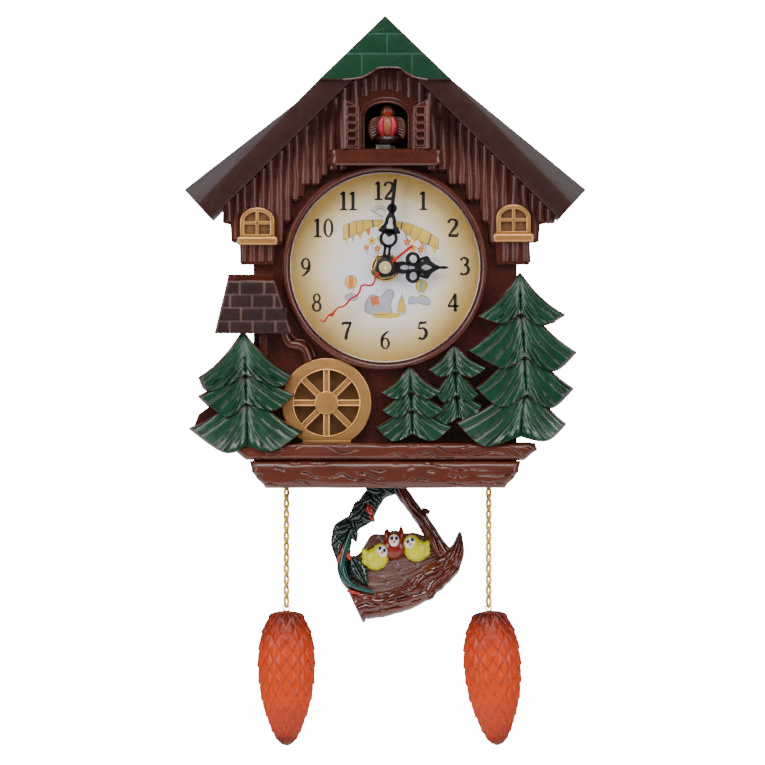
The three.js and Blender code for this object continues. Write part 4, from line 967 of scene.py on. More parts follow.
# ---------------------------------------------------------------- windows, mill and wheel
def make_window(side, x, sill):
    """A round-headed frame with a cross bar, four recessed lights and a bull-nosed ledge."""
    half, spring, rise = 8.5, sill + 7.6, 6.8
    bar_half, bar_z = 0.85, sill + 6.7
    window = Solid(GOLD, GOLD_PAINTED_SHADE)
    outer = arch_outline(x, half, sill, spring, rise)
    inner = arch_outline(x, half - 2.3, sill + 1.2, spring, rise - 2.3)
    window.plate([outer, inner], PLANK_Y - 3.3, SHELL_Y, bevel=0.75)
    # The recessed panes take the darker gold in slot 1, as painted shade.
    pane = arch_outline(x, half - 1.9, sill + 0.6, spring, rise - 1.9)
    window.plate([pane], PLANK_Y - 1.5, PLANK_Y - 0.2, 0.1, 1)
    upright = rectangle(x - bar_half, x + bar_half, sill + 0.6, spring + rise - 1.4)
    across = rectangle(x - half + 1.4, x + half - 1.4, bar_z - bar_half, bar_z + bar_half)
    for bar in (upright, across):
        window.plate([bar], PLANK_Y - 3.0, PLANK_Y - 0.6, bevel=0.5)
    ledge = rectangle(x - 10, x + 10, sill - 4.2, sill + 0.1)
    window.plate([rounded(ledge, 1.3)], PLANK_Y - 4.4, SHELL_Y, bevel=1.2)
    window.piece(f"{side}_gold_window", "clock", [f"{side}_window"], slot_name="gold_paint")


MILL_TOP, MILL_LOW = -6.3, -32.4
MILL_ROWS = [
    (-7.0, -13.3, [-71.3, -59.3]), (-13.3, -19.8, [-76.1, -65.2, -54.4]),
    (-19.8, -26.4, [-70.7, -59.3, -48.8]), (-26.4, -32.2, [-76.3, -65.0, -53.8]),
]


def mill_side(z, sign):
    """Where the mill's left (-1) or right (1) side is at height z."""
    share = (MILL_TOP - z) / (MILL_TOP - MILL_LOW)
    return -77.4 - 6.3 * share if sign < 0 else -54.2 + 8.3 * share


def brick_end(joint, sign, z):
    """A brick's left or right end at height z, next to a joint or else to the mill's side."""
    return mill_side(z, sign) - 0.9 * sign if joint is None else joint - 0.55 * sign


def make_mill():
    """A tapering wall of bricks standing proud of pale joints, under a sloping coping."""
    front = -56.0
    wall = Solid(MORTAR, BRICK_BROWN, BROWN)
    corners = ((-1, MILL_TOP), (1, MILL_TOP), (1, MILL_LOW), (-1, MILL_LOW))
    outline = [(mill_side(z, sign), z) for sign, z in corners]
    wall.plate([outline], front + 0.9, RELIEF_BACK, bevel=0.5, slot=2)
    wall.plate([grown_outline(outline, -0.8)], front + 0.6, front + 1.4, bevel=0.1, slot=0)
    for high, low, joints in MILL_ROWS:
        base, crown = low + 0.42, high - 0.42
        for left, right in zip([None] + joints, joints + [None]):
            ends = ((left, -1, base), (right, 1, base), (right, 1, crown), (left, -1, crown))
            brick = [(brick_end(joint, sign, z), z) for joint, sign, z in ends]
            wall.plate([brick], front - 0.1, front + 1.2, bevel=0.22, slot=1)
    wall.barrel([
        [(lip, front + 1.0, -6.4), (x, SHELL_Y - 1, -3.4), (x, RELIEF_BACK, -6.4)]
        for x, lip in ((-77.0, -77.6), (-55.2, -54.4))
    ], 2)
    wall.piece("mill_bricks", "clock", ["mill_roof"], slot_name="roof_plastic")


FLUME = [
    (-49.6, -31.0), (-49.2, -34.2), (-46.9, -37.6), (-42.6, -38.4), (-39.8, -40.2), (-38.2, -44.0),
    (-37.6, -46.0),
]


def make_flume():
    """The mill's post, and the trough that leads water to the wheel, with a lip beside it."""
    flume = Solid(BROWN)
    flume.plate([rectangle(-61.8, -57.9, -44, -31)], PLANK_Y - 1.2, SHELL_Y, bevel=0.6)
    path = spline_xz(FLUME, y=-49)
    flume.tube(path, 2.3, sides=20)
    flume.tube([p + Vector((2.6, 1.6, 2.2)) for p in path], 0.9, sides=12)
    flume.piece("mill_flume", "clock", slot_name="brown_plastic")


WHEEL_X, WHEEL_Z = -28.8, -66.5
WHEEL_RADIUS, WHEEL_RIM, WHEEL_HUB = 22.0, 16.2, 5.9
SPOKES = 8
SPOKE_HALF = 1.25


def wheel_disc(radius, steps):
    return ellipse(WHEEL_X, WHEEL_Z, radius, radius, steps)


def spoke_point(turn, out, aside):
    """A point out mm along the spoke at turn and aside mm to its left."""
    c, s = math.cos(turn), math.sin(turn)
    return WHEEL_X + out * c - aside * s, WHEEL_Z + out * s + aside * c


def make_wheel():
    """A flat rim, eight channelled spokes with bright raised edges, and a plain hub."""
    front = -50.6
    wheel = Solid(GOLD, GOLD_PAINTED_SHADE)
    rim = [spoke_point(math.radians(-57.5 + 295 * k / 72), WHEEL_RADIUS, 0) for k in range(73)]
    wheel.plate([rim, wheel_disc(WHEEL_RIM, 72)], front, RELIEF_BACK, bevel=0.5)
    foot = rectangle(WHEEL_X - 11.9, WHEEL_X + 11.8, WHEEL_Z - 19.6, WHEEL_Z - 18.4)
    wheel.plate([foot[::-1]], front - 0.1, RELIEF_BACK, bevel=0.3)
    ring = [(x, front - 0.05, z) for x, z in wheel_disc(WHEEL_RIM + 0.25, 72)]
    wheel.tube(ring, 0.35, sides=8, closed=True)
    # The disc behind the spokes takes the darker gold in slot 1, as painted shade between them.
    wheel.plate([wheel_disc(WHEEL_RIM + 0.4, 64)], SHELL_Y - 0.6, SHELL_Y, 0.1, 1)
    wheel.plate([wheel_disc(WHEEL_HUB, 48)], front - 0.5, RELIEF_BACK, bevel=0.6)
    for turn in angles(SPOKES):
        corners = rectangle(WHEEL_HUB - 1, WHEEL_RIM + 0.4, -SPOKE_HALF, SPOKE_HALF)
        bar = [spoke_point(turn, out, aside) for out, aside in corners]
        wheel.plate([bar], front + 0.7, RELIEF_BACK, bevel=0.2)
        for aside in (-SPOKE_HALF, SPOKE_HALF):
            ends = [spoke_point(turn, out, aside) for out in (WHEEL_HUB - 0.3, WHEEL_RIM + 0.2)]
            wheel.tube([(x, front + 0.5, z) for x, z in ends], 0.33, sides=8)
    wheel.piece("gold_water_wheel", "clock", ["water_wheel"], slot_name="gold_paint")


# ---------------------------------------------------------------- fir trees
LEFT_TREE = [
    [(-69.7, -31.3), (-90.0, -54.0), (-84.9, -60.4), (-68.4, -52.4), (-52.2, -58.3), (-46.4, -52.8)],
    [(-68.6, -44.0), (-90.2, -63.2), (-78.2, -73.0), (-68.4, -66.3), (-54.8, -70.0), (-45.2, -62.6)],
    [(-68.4, -58.0), (-94.4, -79.0), (-78.5, -90.3), (-67.6, -87.2), (-55.5, -90.0), (-40.8, -80.6)],
]
TALL_TREE = [
    [(66.1, -2.8), (46.0, -23.9), (57.4, -27.2), (66.5, -22.4), (76.2, -28.0), (86.8, -23.2)],
    [(66.4, -14.0), (41.0, -40.4), (57.6, -49.2), (68.4, -43.4), (81.8, -50.4), (92.2, -41.6)],
    [(67.5, -33.0), (44.8, -59.0), (56.6, -68.2), (69.4, -62.2), (80.6, -68.6), (90.8, -59.4)],
    [(68.5, -52.0), (35.2, -76.0), (48.8, -87.6), (66.5, -82.4), (78.6, -84.6), (87.3, -76.8)],
]
MIDDLE_TREE = [
    [(33.7, -38.1), (21.4, -50.0), (27.6, -53.6), (34.4, -50.8), (42.0, -53.8), (49.4, -49.2)],
    [(34.0, -45.0), (24.8, -61.6), (29.0, -66.0), (35.0, -62.4), (40.4, -65.4), (46.0, -61.8)],
    [(34.6, -56.0), (24.0, -72.8), (29.6, -76.6), (36.0, -73.6), (42.0, -75.4), (47.4, -67.6)],
]
SMALL_TREE = [
    [(12.0, -48.7), (-1.8, -61.2), (5.2, -64.4), (12.6, -60.8), (20.6, -64.4), (27.4, -60.6)],
    [(12.4, -55.0), (-1.4, -70.0), (5.6, -73.4), (13.0, -69.8), (22.0, -73.4), (29.0, -69.4)],
    [(12.8, -64.0), (-4.2, -78.2), (3.8, -85.2), (13.4, -81.6), (23.4, -85.0), (32.4, -78.0)],
]


BOUGH_COLUMNS = 40      # from the spine to either tip
BOUGH_ROWS = 22
EDGE_ROWS = 3           # of these, the ones that round the lower edge


def fir_tier(tree, marks, front, ribs, lean, hidden, seed):
    """One skirt of boughs: grooved rays from the spine to a lobed lower edge that leans out by lean mm.

    marks are its top, left tip, left lobe, notch, right lobe and right tip. The top hidden mm of
    the spine are sunk, to pass under the skirt above.
    """
    top, left, left_lobe, notch, right_lobe, right = [Vector(mark) for mark in marks]
    size = (right - left).length
    edges = {
        side: flat(spline([(*p, 0) for p in (notch, lobe, tip)], BOUGH_COLUMNS // 2))
        for side, lobe, tip in ((-1, left_lobe, left), (1, right_lobe, right))
    }
    columns = [(-1, k) for k in range(BOUGH_COLUMNS, 0, -1)] + [(1, k) for k in range(BOUGH_COLUMNS + 1)]
    width, full_rows = len(columns), BOUGH_ROWS - EDGE_ROWS
    rows, painted_shade_faces = [], []
    for i in range(BOUGH_ROWS + 1):
        t = min(i / full_rows, 1.0)
        drop = max(0, i - full_rows) / EDGE_ROWS
        row, cut = [], []
        for side, k in columns:
            w = k / BOUGH_COLUMNS
            edge = Vector(edges[side][k])
            start = top.lerp(notch, 0.9 * (1 - w) ** 0.9)
            ray = edge - start
            bend = start + ray * 0.5 + Vector((-side * 0.05, -0.13)) * ray.length * min(1, w * 2.5)
            p = start * (1 - t) ** 2 + bend * 2 * t * (1 - t) + edge * t * t
            phase = w * ribs + 0.35 * wobble(seed, side * 3, 1.0, seed) + 0.25 * wobble(w * 9, t * 2, 1.0, seed)
            fade = min(1, t * 2.2) * min(1, w * 5)
            groove = fade * groove_at(phase) ** 3.5
            # Faces deep in a groove, and along the spine, are marked for the darker green of painted shade.
            cut.append(groove > 0.33 or (w < 0.06 and t < 0.9))
            y = front + 3.0 * (1 - t) ** 3 - 0.4 * math.sin(math.pi * w) * t + 0.8 * groove - lean * t ** 3
            y += 3.15 * max(0, w - 0.9) + 0.12 * wobble(p.x, p.y, 0.5, seed)
            y += 0.9 * drop ** 2 + 0.1 * (p - start).length / size
            if hidden:
                y += 3.2 * max(0.0, 1 - (top.y - p.y) / hidden)
            p += (ray.normalized() if ray.length > 0 else Vector((0, -1))) * 0.25 * math.sin(drop * math.pi / 2)
            row.append(Vector((p.x, y, p.y)))
        rows.append(row)
        painted_shade_faces.append(cut)
    start = tree.grid(rows, 0)
    # Marked faces take slot 2, the painted shade in the grooves.
    tree.slots[-BOUGH_ROWS * (width - 1):] = [
        2 if painted_shade_faces[i][j] and i < full_rows else 0 for i in range(BOUGH_ROWS) for j in range(width - 1)
    ]
    loop = [i * width for i in range(BOUGH_ROWS)]
    loop += [BOUGH_ROWS * width + j for j in range(width)]
    loop += [i * width + width - 1 for i in range(BOUGH_ROWS - 1, 0, -1)]
    ring = [(tree.points[start + e].x, tree.points[start + e].z) for e in loop]
    outer = grown_outline(ring, 0.55)
    skirt = [(x, front + 1.9, z) for x, z in outer]
    base = [(x + math.copysign(1.2, x) * max(0, (abs(x) - 60) / 30), RELIEF_BACK, z) for x, z in outer]
    low = tree.add(skirt + base, [])
    count = len(loop)
    for i in range(count):
        j = (i + 1) % count
        tree.faces.append([start + loop[i], start + loop[j], low + j, low + i])
        tree.faces.append([low + i, low + j, low + count + j, low + count + i])
    tree.faces.append([low + count + i for i in range(count)])
    tree.slots += [1] * (2 * count + 1)


def make_trees():
    for name, tiers, ribs, front, lean in (
        ("left", LEFT_TREE, 6, TREE_Y - 1.4, 3.6), ("tall", TALL_TREE, 6, TREE_Y - 1.4, 3.6),
        ("middle", MIDDLE_TREE, 5, TREE_Y, 0.8), ("small", SMALL_TREE, 5, TREE_Y - 1.2, 0.8),
    ):
        tree = Solid(GREEN, BROWN, GROOVE_PAINTED_SHADE)
        for number, marks in enumerate(tiers):
            hidden = marks[0][1] - tiers[number - 1][3][1] + 1.5 if number else 0
            reach = lean if number == len(tiers) - 1 else 0.6
            fir_tier(tree, marks, front, ribs, reach, hidden, 3.7 * number + ribs)
        tree.piece(f"{name}_fir", "clock", [f"{name}_tree"], slot_name="green_paint", smooth=45)


# ---------------------------------------------------------------- log base
LOG_COLUMNS, LOG_ROWS = 260, 30


def log_reach(share, top, middle, low):
    """Half a log's length at a share of its height: from top to middle, then in to low."""
    return top + (middle - top) * min(1, share * 2.5) + (low - middle) * max(0, (share - 0.4) / 0.6)


def make_log(log, top, bottom, reaches, front, seed):
    """A split log: a rounded front with curling grain cut into it, and tapered ends."""
    rows = []
    for i in range(LOG_ROWS + 1):
        t = i / LOG_ROWS
        z = top + (bottom - top) * t
        reach = log_reach(t, *reaches)
        ragged_edge = 0.35 if i in (0, LOG_ROWS) else 0
        row = []
        for j in range(LOG_COLUMNS + 1):
            u = 2 * j / LOG_COLUMNS - 1
            x = u * (reach + 0.5 * wobble(z, seed, 0.4, seed))
            edge = min(1.0, (1 - abs(u)) * reach / 3.2)
            belly = math.sqrt(max(0.0, 1 - (2 * t - 1) ** 4)) * bulge(edge)
            warp = 2.6 * wobble(x, z, 0.045, seed) + 1.1 * wobble(x, z, 0.12, seed + 4)
            grain = max(0.0, math.sin(1.5 * (z + 2.4 * warp) + 0.09 * x) - 0.72) / 0.28
            island = max(0.0, wobble(x * 0.6, z, 0.16, seed + 7) + 0.15)
            cut = 0.75 * grain * min(1, island * 4) + 0.5 * wobble(x * 0.25, z, 0.22, seed + 2)
            y = max(front + 4.4 * (1 - belly) + cut * belly, front - 0.1)
            row.append((x, y, z + ragged_edge * wobble(x, seed, 0.07, seed)))
        rows.append(row)
    log.relief(rows, RELIEF_BACK)
    middle_y, height = (front + RELIEF_BACK) / 2, top - bottom
    for sign in (-1, 1):
        for size in (0.9, 0.7, 0.5, 0.3):
            ring = []
            for a in angles(20):
                z = (top + bottom) / 2 - 0.6 + height * 0.33 * size * math.sin(a)
                reach = log_reach(max((top - z) / height, 0.4), *reaches)
                out, y = 0.45 * math.cos(a) * size, middle_y + 3.1 * math.cos(a) * size
                ring.append((sign * (reach - 0.9 + out), y, z))
            log.tube(ring, 0.22, sides=6, closed=True)


def make_logs():
    logs = Solid(LOG_BROWN)
    make_log(logs, -86.1, -94.7, (73.6, 74.6, 68.0), LOG_Y + 0.3, 2.0)
    make_log(logs, -94.9, -108.2, (66.3, 65.6, 58.6), LOG_Y, 8.0)
    logs.piece("carved_logs", "clock", ["log_base"], slot_name="brown_plastic", smooth=50)


# ---------------------------------------------------------------- dial
def make_bezel():
    bezel = Solid(BROWN, SILVER)
    profile = [
        (46.7, -43.0), (46.7, -49.6), (47.0, -50.6), (47.6, -51.5), (48.4, -52.0), (49.2, -52.1),
        (49.9, -51.7), (50.4, -50.9), (50.6, -49.8), (50.7, -48.6), (50.7, -46.35), (47.9, -46.35),
        (47.8, -46.0), (47.8, -43.0),
    ]
    ring = [(46.1, -50.6), (46.25, -50.9), (46.5, -51.0), (46.8, -50.8), (46.8, -50.2), (46.2, -50.1)]
    for slot, section in enumerate((profile, ring)):
        bezel.lathe(section + section[:1], 180, slot)
    bezel.piece("round_bezel", "clock", ["dial_bezel"], slot_name="brown_plastic", smooth=30)


DIGIT_RINGS = {
    "0": [(0, 0, 2.5, 4.55, 1.25, 3.85)],
    "6": [(0.05, -1.65, 2.35, 2.85, 1.15, 2.15)],
    "8": [(0, 2.25, 1.95, 2.3, 0.95, 1.6), (0, -1.95, 2.4, 2.6, 1.2, 1.85)],
    "9": [(-0.05, 1.65, 2.35, 2.85, 1.15, 2.15)],
}
DIGIT_STROKES = {
    "1": [[(-1.5, 3.1, 0.6), (-0.5, 3.8, 0.9), (0.1, 4.2, 1.0)],
          [(0.1, 4.5, 1.35), (0.1, 0, 1.35), (0.1, -4.2, 1.35)],
          [(-1.8, -4.25, 0.55), (0.1, -4.2, 0.7), (2.0, -4.25, 0.55)]],
    "2": [[(-2.1, 2.3, 1.2), (-1.7, 3.6, 1.0), (0.0, 4.15, 0.75), (1.6, 3.3, 1.25), (1.75, 1.8, 1.45),
           (0.9, 0.0, 1.3), (-0.9, -2.2, 0.95), (-2.1, -3.8, 0.6)],
          [(-2.2, -3.85, 1.15), (0.2, -3.85, 1.25), (1.9, -3.85, 1.2), (2.5, -2.5, 0.5)]],
    "3": [[(-1.9, 2.9, 1.1), (-1.0, 4.0, 0.8), (0.4, 4.05, 0.9), (1.5, 3.0, 1.25), (1.2, 1.3, 1.15),
           (-0.3, 0.55, 0.55)],
          [(-0.3, 0.55, 0.55), (1.3, 0.0, 1.0), (2.0, -1.7, 1.4), (1.2, -3.5, 1.15), (-0.6, -4.1, 0.8),
           (-2.1, -3.5, 1.2)]],
    "4": [[(1.0, 4.3, 0.8), (-0.7, 1.3, 0.75), (-2.4, -1.5, 0.7)],
          [(-2.7, -1.7, 0.95), (0, -1.7, 1.0), (2.6, -1.7, 0.95)],
          [(0.95, 4.4, 1.3), (0.95, 0, 1.35), (0.95, -4.4, 1.35)]],
    "5": [[(2.1, 4.15, 1.0), (0.2, 3.9, 1.15), (-1.3, 3.9, 1.15)],
          [(-1.4, 4.2, 0.7), (-1.6, 2.4, 0.65), (-1.75, 0.9, 0.7)],
          [(-1.8, 0.8, 0.6), (0.3, 1.25, 0.9), (1.8, -0.2, 1.4), (1.7, -2.4, 1.4), (0.2, -4.0, 0.95),
           (-1.9, -3.5, 1.2)]],
    "6": [[(1.9, 4.4, 0.5), (0.2, 3.3, 0.9), (-1.3, 1.4, 1.25), (-1.75, -0.8, 1.2)]],
    "7": [[(-2.1, 2.6, 0.6), (-1.9, 3.7, 1.0), (0.0, 3.8, 1.2), (2.1, 3.8, 1.1)],
          [(2.1, 4.1, 0.7), (0.9, 1.5, 1.0), (-0.1, -1.4, 1.3), (-0.5, -4.4, 1.4)]],
    "9": [[(-1.9, -4.4, 0.5), (-0.2, -3.3, 0.9), (1.3, -1.4, 1.25), (1.75, 0.8, 1.2)]],
}
HOURS = {
    12: (-0.7, 37.8), 1: (18.7, 32.9), 2: (33.3, 19.6), 3: (39.0, 0.7), 4: (33.5, -17.2), 5: (18.3, -31.0),
    6: (0.0, -35.6), 7: (-18.8, -31.0), 8: (-33.6, -17.2), 9: (-39.0, 0.3), 10: (-30.6, 19.5),
    11: (-18.2, 32.8),
}
DIGIT_STEP = 5.4
NARROW_STEP = 4.6       # for the two strokes of eleven
STROKE_WEIGHT = 1.15


def make_numerals():
    figures = Solid(INK)
    for hour, (x, z) in HOURS.items():
        digits = str(hour)
        step = NARROW_STEP if digits == "11" else DIGIT_STEP
        for place, digit in enumerate(digits):
            centre = x + (place - (len(digits) - 1) / 2) * step
            shapes = []
            for px, pz, wide, tall, inner_wide, inner_tall in DIGIT_RINGS.get(digit, []):
                outside = ellipse(centre + px, z + pz, wide, tall, 36)
                shapes.append([outside, ellipse(centre + px, z + pz, inner_wide, inner_tall, 32)])
            for stroke in DIGIT_STROKES.get(digit, []):
                bold = ribbon([(px, pz, STROKE_WEIGHT * wide) for px, pz, wide in stroke])
                shapes.append([[(centre + px, z + pz) for px, pz in bold]])
            for outlines in shapes:
                figures.plate(outlines, DIAL_Y - 0.1, DIAL_Y - 0.02, bevel=0.01)
    figures.piece("dial_numerals", "clock", slot_name="dial_paper")


# ---------------------------------------------------------------- hands
def mirrored(right):
    """The right-hand side of an outline, bottom to top, joined to its mirror image."""
    return right + [(-x, z) for x, z in right[::-1] if abs(x) > 1e-6]


def make_hand(kind, angle, shapes):
    """A flat hand of shapes drawn pointing up at twelve, turned clockwise by angle degrees."""
    front, back = level(f"{kind}_hand", 0, 1), level(f"{kind}_hand", 1, 1)
    c, s = math.cos(math.radians(angle)), math.sin(math.radians(angle))
    hand = Solid(BLACK)
    for outlines in shapes:
        moved = [[(x * c + z * s, -x * s + z * c) for x, z in outline] for outline in outlines]
        hand.plate(moved, front, back, bevel=0.12)
    hand.piece(f"{kind}_ornate_hand", f"{kind}_set", [f"{kind}_hand"], slot_name="black_hand")


def minute_shapes():
    """A pierced stalk, a ring, a pierced bell under a bead, and a baton."""
    stalk = mirrored([(0, -4.6), (3.3, -3.3), (4.4, -0.4), (3.8, 2.6), (2.1, 5.0), (1.75, 8.4), (2.1, 10.9)])
    bell = smooth_outline(mirrored([
        (0, 17.0), (3.6, 17.0), (5.5, 17.6), (4.3, 19.8), (3.0, 21.6), (2.5, 24.4), (1.5, 26.6), (1.2, 27.8),
    ]), 4)
    opening = smooth_outline(mirrored([(0, 19.3), (1.7, 19.7), (1.05, 21.6), (0.8, 23.8), (0, 24.7)]), 3)
    return [
        [stalk, ellipse(0, 0, 1.35, 1.35, 20), ellipse(0, 8.0, 0.55, 1.9, 16)],
        [ellipse(0, 14.4, 4.5, 4.5, 40), ellipse(0, 14.4, 3.0, 3.0, 32)],
        [[(-3.4, 17.6), (3.4, 17.6), (0, 14.9)]],
        [bell, opening],
        [ellipse(0, 29.3, 2.45, 2.45, 28)],
        [mirrored([(0.6, 27), (0.9, 32), (0.9, 42.8), (0.4, 43.9)])],
    ]


def hour_shapes():
    """A pierced stalk, two pierced lobes with hooks, a pierced diamond and a short tip."""
    stalk = mirrored([(0, -4.8), (3.6, -3.5), (4.9, -0.4), (4.2, 3.0), (2.6, 5.2), (3.2, 8.6), (2.6, 11.9)])
    shapes = [[stalk, ellipse(0, 0, 2.2, 2.2, 24), ellipse(0, 9.6, 1.1, 2.2, 18)]]
    for sign in (-1, 1):
        lobe = ellipse(sign * 4.1, 13.6, 3.6, 3.6, 32, turn=sign * 18)
        hole = ellipse(sign * 4.2, 13.8, 2.0, 1.75, 24, turn=sign * 18)
        hook = ((1.8, 16.0, 1.2), (3.8, 17.4, 1.6), (4.9, 19.6, 1.3), (5.5, 20.8, 0.5))
        shapes += [[lobe, hole], [ribbon([(sign * x, z, width) for x, z, width in hook])]]
    diamond = smooth_outline(mirrored([
        (0, 14.2), (2.2, 16.0), (3.4, 18.6), (5.7, 20.8), (3.0, 22.8), (1.5, 25.0), (0.8, 26.4),
    ]), 3)
    opening = smooth_outline(mirrored([(0, 17.8), (1.35, 19.6), (0.9, 21.4), (0, 22.8)]), 3)
    return shapes + [[diamond, opening], [mirrored([(0.7, 25), (0.75, 29.6), (0.3, 31.2)])]]


SECOND_WAVE = [
    (0, 0, 1.3), (-3.0, -2.3, 1.2), (-4.8, -4.8, 1.0), (-5.4, -7.3, 0.95), (-7.0, -8.8, 0.95),
    (-10.6, -8.6, 0.95),
    (-11.9, -9.6, 0.95), (-12.6, -12.0, 0.95), (-13.9, -13.8, 0.9), (-17.2, -15.5, 0.9), (-18.5, -17.4, 0.9),
    (-20.4, -19.0, 0.85), (-23.2, -19.9, 0.85), (-25.0, -21.8, 1.0), (-26.0, -23.2, 1.7), (-27.6, -23.5, 0.9),
    (-28.9, -25.1, 0.8), (-30.2, -26.6, 0.75), (-32.4, -25.3, 0.4),
]
SECOND_TAIL = [(0, 0, 1.3), (6.4, 5.1, 1.2), (12.6, 10.1, 1.35), (13.3, 10.7, 0.6)]


def make_second_hand():
    """A red crooked pointer with a straight tail, under a polished brass cap."""
    front, back = level("second_hand", 0, 1) + 0.7, level("second_hand", 1, 1)
    hand = Solid(RED, CAP_BRASS, BLACK)
    for stroke in (SECOND_WAVE, SECOND_TAIL):
        hand.plate([ribbon(stroke)], back - 0.4, back, bevel=0.08)
    seat = [(0.01, back), (4.4, back), (4.45, back - 0.25), (4.1, back - 0.42), (0.01, back - 0.42)]
    cap = [
        (0.01, back - 0.3), (3.1, back - 0.3), (3.05, back - 0.6), (2.6, front - 0.3), (1.7, front - 0.6),
        (0.8, front - 0.7), (0.6, front - 0.55), (0.01, front - 0.5),
    ]
    hand.lathe(seat, 48, 2)
    hand.lathe(cap, 48, 1)
    hand.piece("second_wavy_hand", "second_set", ["second_hand"], slot_name="red_hand")


NUT_BORE = 3.9


def make_nut():
    """The brass hexagon nut and its rounded washer that clamp the movement to the dial."""
    back, front = level("movement_nut", 1, 1), level("movement_nut", 0, 1)
    nut = Solid(NUT_BRASS)
    washer = [(NUT_BORE, back), (7.1, back), (7.2, back - 0.3), (6.9, back - 0.62), (6.2, back - 0.8),
              (NUT_BORE, back - 0.8), (NUT_BORE, back)]
    nut.lathe(washer, 72)
    hexagon = [(6.1 * math.cos(a), 6.1 * math.sin(a)) for a in (math.radians(12 + 60 * k) for k in range(6))]
    nut.plate([hexagon, ellipse(0, 0, NUT_BORE, NUT_BORE, 40)], front, back - 0.7, bevel=0.5)
    collar = [(NUT_BORE, back - 0.2), (4.6, front + 0.1), (4.3, front - 0.05), (NUT_BORE, front + 0.1),
              (NUT_BORE, back - 0.2)]
    nut.lathe(collar, 48)
    nut.piece("brass_hex_nut", "clock", ["movement_nut"], slot_name="brass")


# ---------------------------------------------------------------- printed picture on the dial
def ink(name, colour, mottle):
    return moulded(name, colour, rough=0.6, mottle=mottle, pits=0.0)


AWNING_YELLOW = ink("awning_yellow_ink", (0.76, 0.50, 0.07), 0.25)
SAGE_INK = ink("sage_ink", (0.38, 0.42, 0.22), 0.2)
GREY_INK = ink("grey_ink", (0.42, 0.43, 0.50), 0.15)
ORANGE_INK = ink("orange_ink", (0.70, 0.17, 0.05), 0.15)
PEN_INK = ink("pen_ink", (0.09, 0.08, 0.08), 0.2)
YELLOW, SAGE, PALE, ORANGE, PEN = range(5)      # their slots in the picture
PEN_WEIGHT = 1.5


def patch(picture, outline, slot, layer=0.05):
    """A printed shape; one with a higher layer covers the others."""
    picture.plate([outline], DIAL_Y - layer, DIAL_Y - 0.02, bevel=0.004, slot=slot)


def pen(picture, points, width, closed=False):
    """A drawn line in dark ink."""
    patch(picture, ribbon([(x, z, width * PEN_WEIGHT) for x, z in points], closed), PEN, 0.075)


def awning(picture, top, low, stripes=5):
    """A sagging striped awning between two curves, with pennants hanging from it."""
    upper, under = [flat(spline([(x, z, 0) for x, z in edge])) for edge in (top, low)]
    patch(picture, upper + under[::-1], YELLOW)
    count = len(upper) - 1
    for k in range(stripes + 1):
        i = round(count * k / stripes)
        pen(picture, [upper[i], under[i]], 0.5 if k % 3 == 1 else 0.16)
    for edge in (upper, under):
        pen(picture, edge[::4], 0.16)
    for k in range(stripes):
        a, b = under[round(count * (k + 0.15) / stripes)], under[round(count * (k + 0.85) / stripes)]
        flag = [a, b, ((a[0] + b[0]) / 2 + 0.4, (a[1] + b[1]) / 2 - 3.4)]
        patch(picture, flag, (YELLOW, SAGE, YELLOW, ORANGE)[k % 4], 0.055)


def flower(picture, x, z, size, slot):
    """Five petals round a centre, on a short stalk."""
    for k in range(5):
        a = math.tau * k / 5 + 0.3
        petal_x, petal_z = x + size * 0.62 * math.cos(a), z + size * 0.62 * math.sin(a)
        petal = ellipse(petal_x, petal_z, size * 0.5, size * 0.36, 14, turn=-math.degrees(a))
        patch(picture, petal, slot, 0.06)
    patch(picture, ellipse(x, z, size * 0.3, size * 0.3, 12), YELLOW if slot != YELLOW else ORANGE, 0.07)
    pen(picture, [(x, z - size), (x + 0.4, z - size - 1.8)], 0.2)


def balloon(picture, x, z, size, stripe):
    """A small hot-air balloon with a basket."""
    patch(picture, ellipse(x, z, size, size * 1.12, 26), YELLOW)
    patch(picture, ellipse(x, z, size * 0.42, size * 1.12, 22), stripe, 0.06)
    pen(picture, ellipse(x, z, size, size * 1.12, 20), 0.16, closed=True)
    for sign in (-1, 1):
        ropes = (0.55, 0.95), (0.22, 1.75)
        pen(picture, [(x + sign * size * out, z - size * drop) for out, drop in ropes], 0.14)
    low, high = z - 2.2 * size, z - 1.75 * size
    basket = [(x - 0.28 * size, high), (x + 0.28 * size, high), (x + 0.22 * size, low), (x - 0.22 * size, low)]
    patch(picture, basket, YELLOW, 0.06)


FLOWERS = (
    (-6.6, 13.2, 2.1, YELLOW), (-3.9, 9.4, 1.6, ORANGE), (-9.2, 9.9, 1.4, ORANGE), (-2.6, 14.4, 1.5, SAGE),
    (10.8, 12.6, 1.7, ORANGE), (13.6, 9.6, 1.9, YELLOW), (17.4, 9.0, 1.6, ORANGE), (19.6, 11.0, 1.2, PALE),
)
HILL = [
    (-9.6, -22.0), (-9.2, -16.4), (-6.2, -13.2), (-2.6, -14.6), (0.4, -11.4), (3.4, -11.0), (4.2, -14.0),
    (2.6, -18.0), (3.0, -22.4), (-3.4, -23.0),
]
BUSH = [
    (11.6, -17.8), (12.4, -14.2), (15.6, -14.8), (18.6, -13.6), (21.8, -15.8), (21.2, -18.6), (16.2, -17.4),
]
TENT = [(6.0, -22.0), (9.8, -22.4), (9.4, -17.2), (8.2, -14.0), (6.8, -17.2)]


